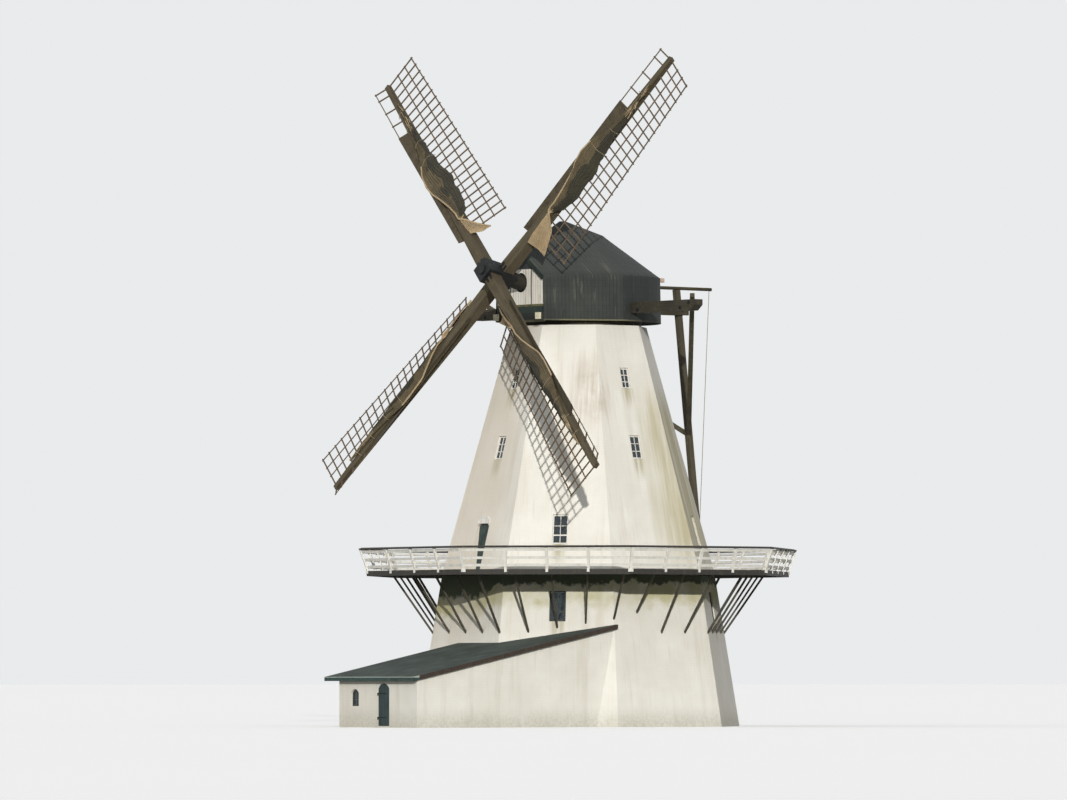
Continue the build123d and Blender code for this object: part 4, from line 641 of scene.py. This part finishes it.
def casement(bars, frames, glass, side, width, sill, head):
    """A window that leans with the wall, in front of the upright frame: frame, glass and bars."""
    out, across, up = side_axes(side)
    foot = out * (face_distance(sill) - CASEMENT_REVEAL) + up * sill
    top = out * (face_distance(head) - CASEMENT_REVEAL) + up * head
    rise = (top - foot).normalized()
    facing = across.cross(rise)
    height = (top - foot).length - 0.03
    middle = (foot + top) / 2 - facing * 0.03
    for way in (-1, 1):
        stile = middle + across * way * (width / 2 - 0.026)
        block(*frames, stile, facing, across, rise, (0.05, CASEMENT_WOOD, height))
        rail = middle + rise * way * (height / 2 - 0.024)
        block(*frames, rail, facing, rise, across, (CASEMENT_WOOD, CASEMENT_WOOD, width - 0.09))
    block(*glass, middle - facing * 0.012, facing, across, rise, (0.006, width - 0.07, height - 0.05))
    block(*bars, middle, facing, across, rise, (BAR_DEPTH, 0.026, height - 0.08))
    for share, thick in TALL_BARS if height > 1.0 else LOW_BARS:
        place = middle + rise * (height * (share - 0.5))
        block(*bars, place, facing, rise, across, (BAR_DEPTH, thick, width - 0.09))


pale_bars, dark_bars, leaning_frames, leaning_glass = [([], []) for _ in range(4)]
for side in range(8):
    if side % 2:
        casement(dark_bars, leaning_frames, leaning_glass, side, *LOWER)
        casement(pale_bars, leaning_frames, leaning_glass, side, *STAGE)
    else:
        casement(pale_bars, leaning_frames, leaning_glass, side, *MIDDLE)
        casement(pale_bars, leaning_frames, leaning_glass, side, *UPPER)
front_out, front_across, up = side_axes(6)
place = front_out * (ANNEX_FRONT - WINDOW_RECESS - 0.03) + front_across * ANNEX_WINDOW
block(*dark_bars, place + up * 1.08, front_out, front_across, up, (BAR_DEPTH, 0.03, 0.6))
block(*dark_bars, place + up * 1.04, front_out, up, front_across, (BAR_DEPTH, 0.03, 0.4))
add_mesh("casement_frames", *leaning_frames, FRAMES, "tower", "white_paint")
add_mesh("casement_glass", *leaning_glass, GLASS, "tower", "glass")
add_mesh("window_bars", *pale_bars, WHITE, "tower", "white_paint")
add_mesh("dark_window_bars", *dark_bars, DARK_FRAME, "tower", "white_paint")


POST_FOOT = (0.028, 0.10, 0.12)
# the outer posts of a side stand a little in from its corners
POST_SPREAD = 0.985


def post_feet():
    """Feet of the railing posts, let down over the rim."""
    points, faces = [], []
    rim = GALLERY_RADIUS * APOTHEM
    for side in range(8):
        out, across, up = side_axes(side)
        for bay in range(-2, 3):
            along = bay / 4 * 2 * rim * math.tan(math.radians(22.5)) * POST_SPREAD
            middle = out * (rim + POST_FOOT[0] / 2) + across * along + up * (DECK - 0.05)
            block(points, faces, middle, out, across, up, POST_FOOT)
    return points, faces


add_mesh("railing_post_feet", *post_feet(), WHITE, "tower", "white_paint")


def bolt(points, faces, centre, axis, size):
    """A square washer with a hexagonal head, facing along axis."""
    side = axis.orthogonal().normalized()
    other = axis.cross(side)
    block(points, faces, centre + axis * size * 0.1, side, other, axis, (size * 1.7, size * 1.7, size * 0.2))
    start = len(points)
    for z in (0.2, 0.75):
        for i in range(6):
            turn = math.radians(60 * i)
            rim = (side * math.cos(turn) + other * math.sin(turn)) * size * 0.5
            points.append(centre + rim + axis * size * z)
    for i in range(6):
        j = (i + 1) % 6
        faces.append((start + i, start + j, start + 6 + j, start + 6 + i))
    faces.append(tuple(start + 6 + i for i in range(6)))


# Bolts of the beams, with their places along each beam, and the small timber at the stern
CROSSBEAM_BOLTS, TAIL_BOLTS = (3.3, 5.75, 6.25), (4.86, 5.14)
BATTEN_PLACE, BATTEN_SIZE = Vector((1.60, 2.68, 17.18)), (0.17, 0.16, 0.44)
cap_bolts = ([], [])
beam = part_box("long_crossbeam")
for hand in (-1, 1):
    for distance in CROSSBEAM_BOLTS:
        for y, axis in ((beam[0][1], Vector((0, -1, 0))), (beam[1][1], Vector((0, 1, 0)))):
            height = (beam[0][2] + beam[1][2]) / 2 + 0.09 * (-1) ** int(distance)
            bolt(*cap_bolts, Vector((hand * distance, y, height)), axis, 0.07)
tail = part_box("tail_beams")
for hand in (-1, 1):
    for y in TAIL_BOLTS:
        place = Vector((hand * tail[1][0], y, (tail[0][2] + tail[1][2]) / 2))
        bolt(*cap_bolts, place, Vector((hand, 0, 0)), 0.06)
add_mesh("beam_bolts", *cap_bolts, BLACK_IRON, "cap", "iron")

batten = ([], [])
outward, sideways = Vector((0.653, 0.757, 0)), Vector((-0.757, 0.653, 0))
block(*batten, BATTEN_PLACE, sideways, Vector((0, 0, 1)), outward, BATTEN_SIZE, 0.3)
add_mesh("stern_batten_end", *batten, CREAM_PAINT, "cap", "timber")

# Gallery doors: boards that lean with the wall, and a pale half-round panel above
DOOR_SIDES = (2, 6)
DOOR_HALF, DOOR_SPRING, DOOR_CROWN = 0.375, 1.70, 0.14
# how deep the leaf lies behind the wall's face at its foot and its head
LEAF_FOOT, LEAF_HEAD = 0.36, 0.075
DOOR_PLANKS, HALF_GAP = 6, 0.003
LEDGE_HALF, LEDGE_HEIGHTS, LEDGE_PROUD = 0.33, (0.3, 1.35), 0.014
PANEL_HALF, PANEL_BASE, PANEL_RISE, PANEL_STEPS = 0.385, 1.80, 0.26, 16


def board(points, faces, corners, inward, depth, edge=0.006):
    """Adds a board with eased front edges: four front corners and the way to its back."""
    start = len(points)
    middle = sum(corners, Vector()) / 4
    for c in corners:
        points.append(c + (middle - c).normalized() * edge)
    for c in corners:
        points.append(c + inward * edge)
    for c in corners:
        points.append(c + inward * depth)
    faces.append((start, start + 1, start + 2, start + 3))
    faces.append((start + 11, start + 10, start + 9, start + 8))
    for layer in (0, 4):
        for i in range(4):
            j = (i + 1) % 4
            faces.append((start + layer + j, start + layer + i, start + layer + 4 + i, start + layer + 4 + j))


def door_leaf(points, faces, side):
    """Planks with a leaning face under a low arch, and two ledges across them."""
    out, along, up = side_axes(side)
    head = face_distance(DECK + DOOR_SPRING + DOOR_CROWN) - LEAF_HEAD
    foot = face_distance(DECK) - LEAF_FOOT

    def on_leaf(x, z, proud=0.0):
        reach = foot + (head - foot) * z / (DOOR_SPRING + DOOR_CROWN)
        return out * (reach + proud) + along * x + up * (DECK + z)

    def crown(x):
        return DOOR_SPRING + DOOR_CROWN * (1 - (x / DOOR_HALF) ** 2) - 0.005

    for i in range(DOOR_PLANKS):
        left = -DOOR_HALF + 2 * DOOR_HALF * i / DOOR_PLANKS + HALF_GAP
        right = -DOOR_HALF + 2 * DOOR_HALF * (i + 1) / DOOR_PLANKS - HALF_GAP
        corners = [on_leaf(left, 0.012), on_leaf(right, 0.012),
                   on_leaf(right, crown(right)), on_leaf(left, crown(left))]
        board(points, faces, corners, -out, 0.035)
    for z in LEDGE_HEIGHTS:
        outline = ((-LEDGE_HALF, -0.03), (LEDGE_HALF, -0.02), (LEDGE_HALF, 0.02), (-LEDGE_HALF, 0.03))
        corners = [on_leaf(x, z + rise, LEDGE_PROUD) for x, rise in outline]
        board(points, faces, corners, -out, 0.016, 0.003)


def door_panel(points, faces, side):
    """A half-round panel with a raised rim, flat on the wall above a gallery door."""
    out, along, up = side_axes(side)

    def on_wall(x, z, proud):
        return out * (face_distance(DECK + z) + proud) + along * x + up * (DECK + z)

    row = PANEL_STEPS + 1
    for inner, outer, proud in ((0.0, 0.9, 0.018), (0.9, 1.06, 0.034)):
        start = len(points)
        for depth in (proud, -0.004):
            for share in (inner, outer):
                for i in range(row):
                    turn = math.pi * i / PANEL_STEPS
                    x = PANEL_HALF * share * math.cos(turn)
                    points.append(on_wall(x, PANEL_BASE + PANEL_RISE * share * math.sin(turn), depth))
        for i in range(PANEL_STEPS):
            a, b, c, d = start + i, start + row + i, start + 2 * row + i, start + 3 * row + i
            if inner:
                faces.append((a + 1, a, b, b + 1))
                faces.append((a, a + 1, c + 1, c))
                faces.append((c, c + 1, d + 1, d))
            else:
                faces.append((a, b, b + 1))
                faces.append((c, d + 1, d))
            faces.append((b + 1, b, d, d + 1))
        for i in (0, PANEL_STEPS):
            a, b, c, d = start + i, start + row + i, start + 2 * row + i, start + 3 * row + i
            faces.append((a, b, d, c) if i else (a, c, d, b))


leaf, panel = ([], []), ([], [])
for side in DOOR_SIDES:
    door_leaf(*leaf, side)
    door_panel(*panel, side)
doors = add_mesh("gallery_door_boards", *leaf, GALLERY_DOOR, "tower", "door_paint")
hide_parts("gallery_doors")
add_mesh("gallery_door_panels", *panel, WHITE, "tower", "white_paint")


def arm_frame(place, angle):
    """Middle of an arm on the shaft, and its directions."""
    return Vector((0, 0, AXIS_HEIGHT)) + FORWARD * place, *arm_axes(angle)


def stock_wedges():
    """Wedges that hold the stocks in the hub."""
    points, faces = [], []
    for place, angle in ARMS:
        origin, side, out = arm_frame(place, angle)
        for hand in (-1, 1):
            centre = origin + out * 0.44 + side * hand * 0.10 + FORWARD * 0.235
            block(points, faces, centre, side, FORWARD, out, (0.10, 0.05, 0.26), 0.3)
    return points, faces


# Furled cloth, one long gathered sheet on each arm
BOARD_HEEL, BOARD_TIP = 2.1, 8.6
HEEL_BAR, TIP_BAR = 2.329, 11.23
PLEATS = 9
CLOTH_COLUMNS, CLOTH_ROWS = 90, 180
# distance of the neck from the hub, and how much further out it lies on each arm
NECK = 3.0
NECK_SLIPS = [0.45, 0.45, -0.15, 0.2]
HEM_END = 6.6
LASHING_PLACES = (6.6, 7.6, 8.6, 9.5)
# distance out along the arm, then across it: the cloth's leading edge and its trailing edge
CLOTH_EDGES = [
    (1.92, 0.24, 0.86), (2.15, 0.22, 0.70), (2.6, 0.17, 0.43), (3.0, 0.10, 0.25), (3.4, 0.12, 0.40),
    (3.9, 0.02, 0.50), (4.5, -0.17, 0.52), (5.1, -0.38, 0.52), (5.6, -0.45, 0.50), (6.3, -0.40, 0.43),
    (7.2, -0.16, 0.34), (8.2, 0.0, 0.28), (9.2, 0.06, 0.22), (10.0, 0.10, 0.15),
]


def edge_at(radius, slip):
    """Both edges of the gathered cloth at a distance from the hub."""
    radius -= slip * max(0.0, min(1.0, (radius - CLOTH_EDGES[0][0]) / 0.9, (9.0 - radius) / 2.5))
    for lower, upper in zip(CLOTH_EDGES, CLOTH_EDGES[1:]):
        if radius <= upper[0]:
            break
    share = (radius - lower[0]) / (upper[0] - lower[0])
    return blend(lower[1], upper[1], share), blend(lower[2], upper[2], share)


def sail_face(x, radius):
    """How far forward the arm's front lies, across stock, boards and lattice."""
    half = blend(0.45, 0.205, stock_share(radius)) / 2
    front = blend(0.48, 0.18, stock_share(radius)) / 2
    if x < -half:
        heel = max(0.0, (BOARD_TIP - radius) / (BOARD_TIP - BOARD_HEEL))
        return max(front, 0.07 + (-x - half) * math.tan(math.radians(blend(28, 45, heel))) + 0.015)
    if x <= half:
        return front
    slope = math.tan(math.radians(23)) * (TIP_BAR - radius) / (TIP_BAR - HEEL_BAR)
    fall = min(1.0, (x - half) / 0.34)
    fall = fall * fall * (3 - 2 * fall)
    return blend(front, 0.03 - x * slope, fall)


def hem_place(radius, slip):
    """Across and forward place of the roped hem, which changes edges at the neck."""
    leading, trailing = edge_at(radius, slip)
    turn = min(1.0, max(0.0, (radius - NECK - slip + 0.15) / 0.3))
    x = blend(trailing, leading, turn * turn * (3 - 2 * turn))
    lift = 0.07 * math.sin(math.pi * min(1.0, max(0.0, (radius - 2.3) / 2.8)))
    return x, sail_face(x, radius) + 0.06 + lift


def furled_cloth(index, place, angle):
    """A fan at the heel bar, twisted at its neck and lashed along the stock."""
    origin, side, out = arm_frame(place, angle)
    start, end = CLOTH_EDGES[0][0], CLOTH_EDGES[-1][0]
    slip = NECK_SLIPS[index]
    columns, rows = CLOTH_COLUMNS, CLOTH_ROWS
    points, faces, tones = [], [], []
    for i in range(rows + 1):
        radius = blend(start, end, i / rows)
        leading, trailing = edge_at(radius, slip)
        ragged = 0.5 * noise.noise(Vector((radius * 5.3, index * 4.7, 0.5)))
        ragged += noise.noise(Vector((radius * 2.1, index * 4.7, 3.5)))
        past_neck = radius > NECK + slip
        trailing += 0.07 * ragged if radius > NECK + slip + 0.3 else 0
        neck = min(1.0, 0.3 + abs(radius - NECK - slip) / 0.8)
        fullness = min(1.0, 0.25 + (radius - start) / 0.5) * blend(1.0, 0.75, i / rows)
        hem_x, hem_z = hem_place(radius, slip)
        for j in range(columns + 1):
            u = j / columns
            lean = 0.5 * noise.noise(Vector((radius * 0.7, u * 2, index * 9.1)))
            drift = 0.16 * radius + lean if past_neck else 0.0
            wave = math.sin(2 * math.pi * (PLEATS * u + drift))
            swell = 0.6 * noise.noise(Vector((radius * 1.6, u * 3.1, index * 5.3))) + 0.5
            x = blend(leading, trailing, u) + 0.010 * math.cos(4 * math.pi * PLEATS * u) * fullness * neck
            body = math.sin(math.pi * u) ** 0.6
            lift = 0.025 + fullness * neck * (0.036 * (1 + wave) + 0.07 * body * max(0.0, swell))
            z = sail_face(x, radius) + lift
            near = max(0.0, 1 - abs(x - hem_x) / 0.16)
            z = blend(z, max(z, hem_z - 0.02), near * near * (3 - 2 * near))
            points.append(origin + side * x + out * radius + FORWARD * z)
    for i in range(rows):
        radius = blend(start, end, (i + 0.5) / rows)
        for j in range(columns):
            a = i * (columns + 1) + j
            faces.append((a, a + 1, a + columns + 2, a + columns + 1))
            patch = noise.noise(Vector((radius * 2.6, j / 11, index * 2.2)))
            shade = j / columns + 0.35 * noise.noise(Vector((radius * 0.9, j / 20, index * 3.7)))
            tone = 2 if shade > 0.5 and radius > NECK else 0
            if radius < NECK + slip + 0.1 + 0.15 * patch or radius > 8.4 and patch > 0.12:
                tone = 1
            tones.append(tone)
    made = add_mesh(f"furled_cloth_{index}", points, faces, CLOTH, "sails", "canvas", smooth=True)
    made.data.materials.append(CREAM)
    made.data.materials.append(SHADED)
    made.data.polygons.foreach_set("material_index", tones)
    return made


def tube(points, faces, path, radius, sides=8):
    """Adds a round cord along a path of places."""
    start = len(points)
    for i, here in enumerate(path):
        run = (path[min(i + 1, len(path) - 1)] - path[max(i - 1, 0)]).normalized()
        across = run.cross(FORWARD).normalized()
        other = run.cross(across)
        for k in range(sides):
            turn = 2 * math.pi * k / sides
            points.append(here + (across * math.cos(turn) + other * math.sin(turn)) * radius)
    for i in range(len(path) - 1):
        for k in range(sides):
            a, b = start + i * sides + k, start + i * sides + (k + 1) % sides
            faces.append((a, b, b + sides, a + sides))
    faces.append(tuple(start + k for k in reversed(range(sides))))
    faces.append(tuple(len(points) - sides + k for k in range(sides)))


def bolt_ropes():
    """The roped hem of each cloth, from the heel bar over the stock to the leading boards."""
    points, faces = [], []
    for index, (place, angle) in enumerate(ARMS):
        origin, side, out = arm_frame(place, angle)
        path = []
        for i in range(61):
            radius = blend(CLOTH_EDGES[0][0], HEM_END, i / 60)
            x, z = hem_place(radius, NECK_SLIPS[index])
            path.append(origin + side * x + out * radius + FORWARD * z)
        tube(points, faces, path, 0.034)
    return points, faces


def lashings():
    """Thin cords round the furled cloth and the stock."""
    points, faces = [], []
    for index, (place, angle) in enumerate(ARMS):
        origin, side, out = arm_frame(place, angle)
        for radius in LASHING_PLACES:
            leading, trailing = edge_at(radius, NECK_SLIPS[index])
            path = []
            for i in range(17):
                x = blend(min(leading, -0.16), trailing + 0.02, i / 16)
                thick = 0.13 * blend(1.0, 0.75, (radius - LASHING_PLACES[0]) / 3)
                swell = thick * math.sin(math.pi * i / 16) ** 0.5
                along = radius + 0.12 * (i / 16 - 0.5)
                path.append(origin + side * x + out * along + FORWARD * (sail_face(x, radius) + swell))
            tube(points, faces, path, 0.011, 6)
    return points, faces


add_mesh("stock_wedges", *stock_wedges(), BLACK_IRON, "sails", "iron")
add_mesh("cloth_bolt_ropes", *bolt_ropes(), CREAM, "sails", "canvas", smooth=True)
add_mesh("cloth_lashings", *lashings(), ROPE, "sails", "rope", smooth=True)
cloths = [furled_cloth(index, place, angle) for index, (place, angle) in enumerate(ARMS)]
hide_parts("furled_cloths")


# Stage
FLOOR_GLOW, SKY_STRENGTH, BACKGROUND_STRENGTH = 0.36, 0.36, 1.0


def background_share(tree):
    """1 for the rays that show the background: to the camera, and in gloss and glass."""
    rays = tree.nodes.new("ShaderNodeLightPath")
    share = rays.outputs["Is Camera Ray"]
    for kind in ("Is Glossy Ray", "Is Transmission Ray"):
        either = tree.nodes.new("ShaderNodeMath")
        either.operation = "MAXIMUM"
        tree.links.new(share, either.inputs[0])
        tree.links.new(rays.outputs[kind], either.inputs[1])
        share = either.outputs[0]
    return share


def stage_floor():
    """A wide pale floor, duller in the light that it throws back."""
    size = 3000.0
    corners = [(-size, -size, 0), (size, -size, 0), (size, size, 0), (-size, size, 0)]
    data = bpy.data.meshes.new("floor")
    data.from_pydata(corners, [], [(0, 1, 2, 3)])
    made = bpy.data.objects.new("floor", data)
    bpy.context.scene.collection.objects.link(made)
    s = Surface("floor_paint", rough=0.9, specular=0.1)
    cloudy = s.noise(s.place, 0.05, 3.0)
    seen = background_share(s.tree)
    data.materials.append(s.finish(s.mix(seen, "#8b8c86", s.mix(cloudy, "#f2f2f0", "#f6f6f4"))))
    s.shader.inputs["Emission Color"].default_value = linear("#f4f5f6")
    s.feed(s.shader.inputs["Emission Strength"], s.math("MULTIPLY", seen, FLOOR_GLOW))


def studio_world():
    """Soft light from all round, and a pale background."""
    world = bpy.data.worlds.new("studio")
    bpy.context.scene.world = world
    world.use_nodes = True
    tree = world.node_tree
    light = tree.nodes["Background"]
    light.inputs["Color"].default_value = linear("#eef1f4")
    light.inputs["Strength"].default_value = SKY_STRENGTH
    plain = tree.nodes.new("ShaderNodeBackground")
    plain.inputs["Color"].default_value = linear("#e9ebec")
    plain.inputs["Strength"].default_value = BACKGROUND_STRENGTH
    mixer = tree.nodes.new("ShaderNodeMixShader")
    tree.links.new(background_share(tree), mixer.inputs[0])
    tree.links.new(light.outputs[0], mixer.inputs[1])
    tree.links.new(plain.outputs[0], mixer.inputs[2])
    tree.links.new(mixer.outputs[0], tree.nodes["World Output"].inputs["Surface"])


def lamp(name, azimuth, elevation, strength, soft, colour="#ffffff"):
    """A sun lamp from an azimuth and elevation, as wide as soft, in degrees."""
    data = bpy.data.lights.new(name, "SUN")
    data.energy = strength
    data.angle = math.radians(soft)
    data.color = linear(colour)[:3]
    made = bpy.data.objects.new(name, data)
    bpy.context.scene.collection.objects.link(made)
    a, e = math.radians(azimuth), math.radians(elevation)
    towards = Vector((math.sin(a) * math.cos(e), -math.cos(a) * math.cos(e), math.sin(e)))
    made.rotation_euler = towards.to_track_quat("Z", "Y").to_euler()


stage_floor()
studio_world()
lamp("key", 53, 13.2, 2.35, 0.8, "#fffcf5")
lamp("fill", -30, 30, 0.5, 60)

# Camera at the photograph's place, drawn in on the mill
VIEW_AZIMUTH = math.radians(49.2)
DISTANCE = 330.0
EYE_HEIGHT = 1.75
IMAGE_WIDTH = 1067.0
PIXELS_PER_METRE = 26.0
MIDDLE_HEIGHT, MIDDLE_SHIFT = 12.55, -1.75
to_right = Vector((math.cos(VIEW_AZIMUTH), math.sin(VIEW_AZIMUTH), 0))
target = Vector((0, 0, MIDDLE_HEIGHT)) + to_right * MIDDLE_SHIFT
camera_data = bpy.data.cameras.new("camera")
camera_data.sensor_width = 36.0
camera_data.lens = 36.0 * PIXELS_PER_METRE * DISTANCE / IMAGE_WIDTH
camera_data.clip_start = 10.0
camera_data.clip_end = 6000.0
camera = bpy.data.objects.new("camera", camera_data)
bpy.context.scene.collection.objects.link(camera)
camera.location = Vector((math.sin(VIEW_AZIMUTH) * DISTANCE, -math.cos(VIEW_AZIMUTH) * DISTANCE, EYE_HEIGHT))
camera.rotation_euler = (target - camera.location).to_track_quat("-Z", "Y").to_euler()
bpy.context.scene.camera = camera
bpy.context.scene.view_settings.view_transform = "Standard"
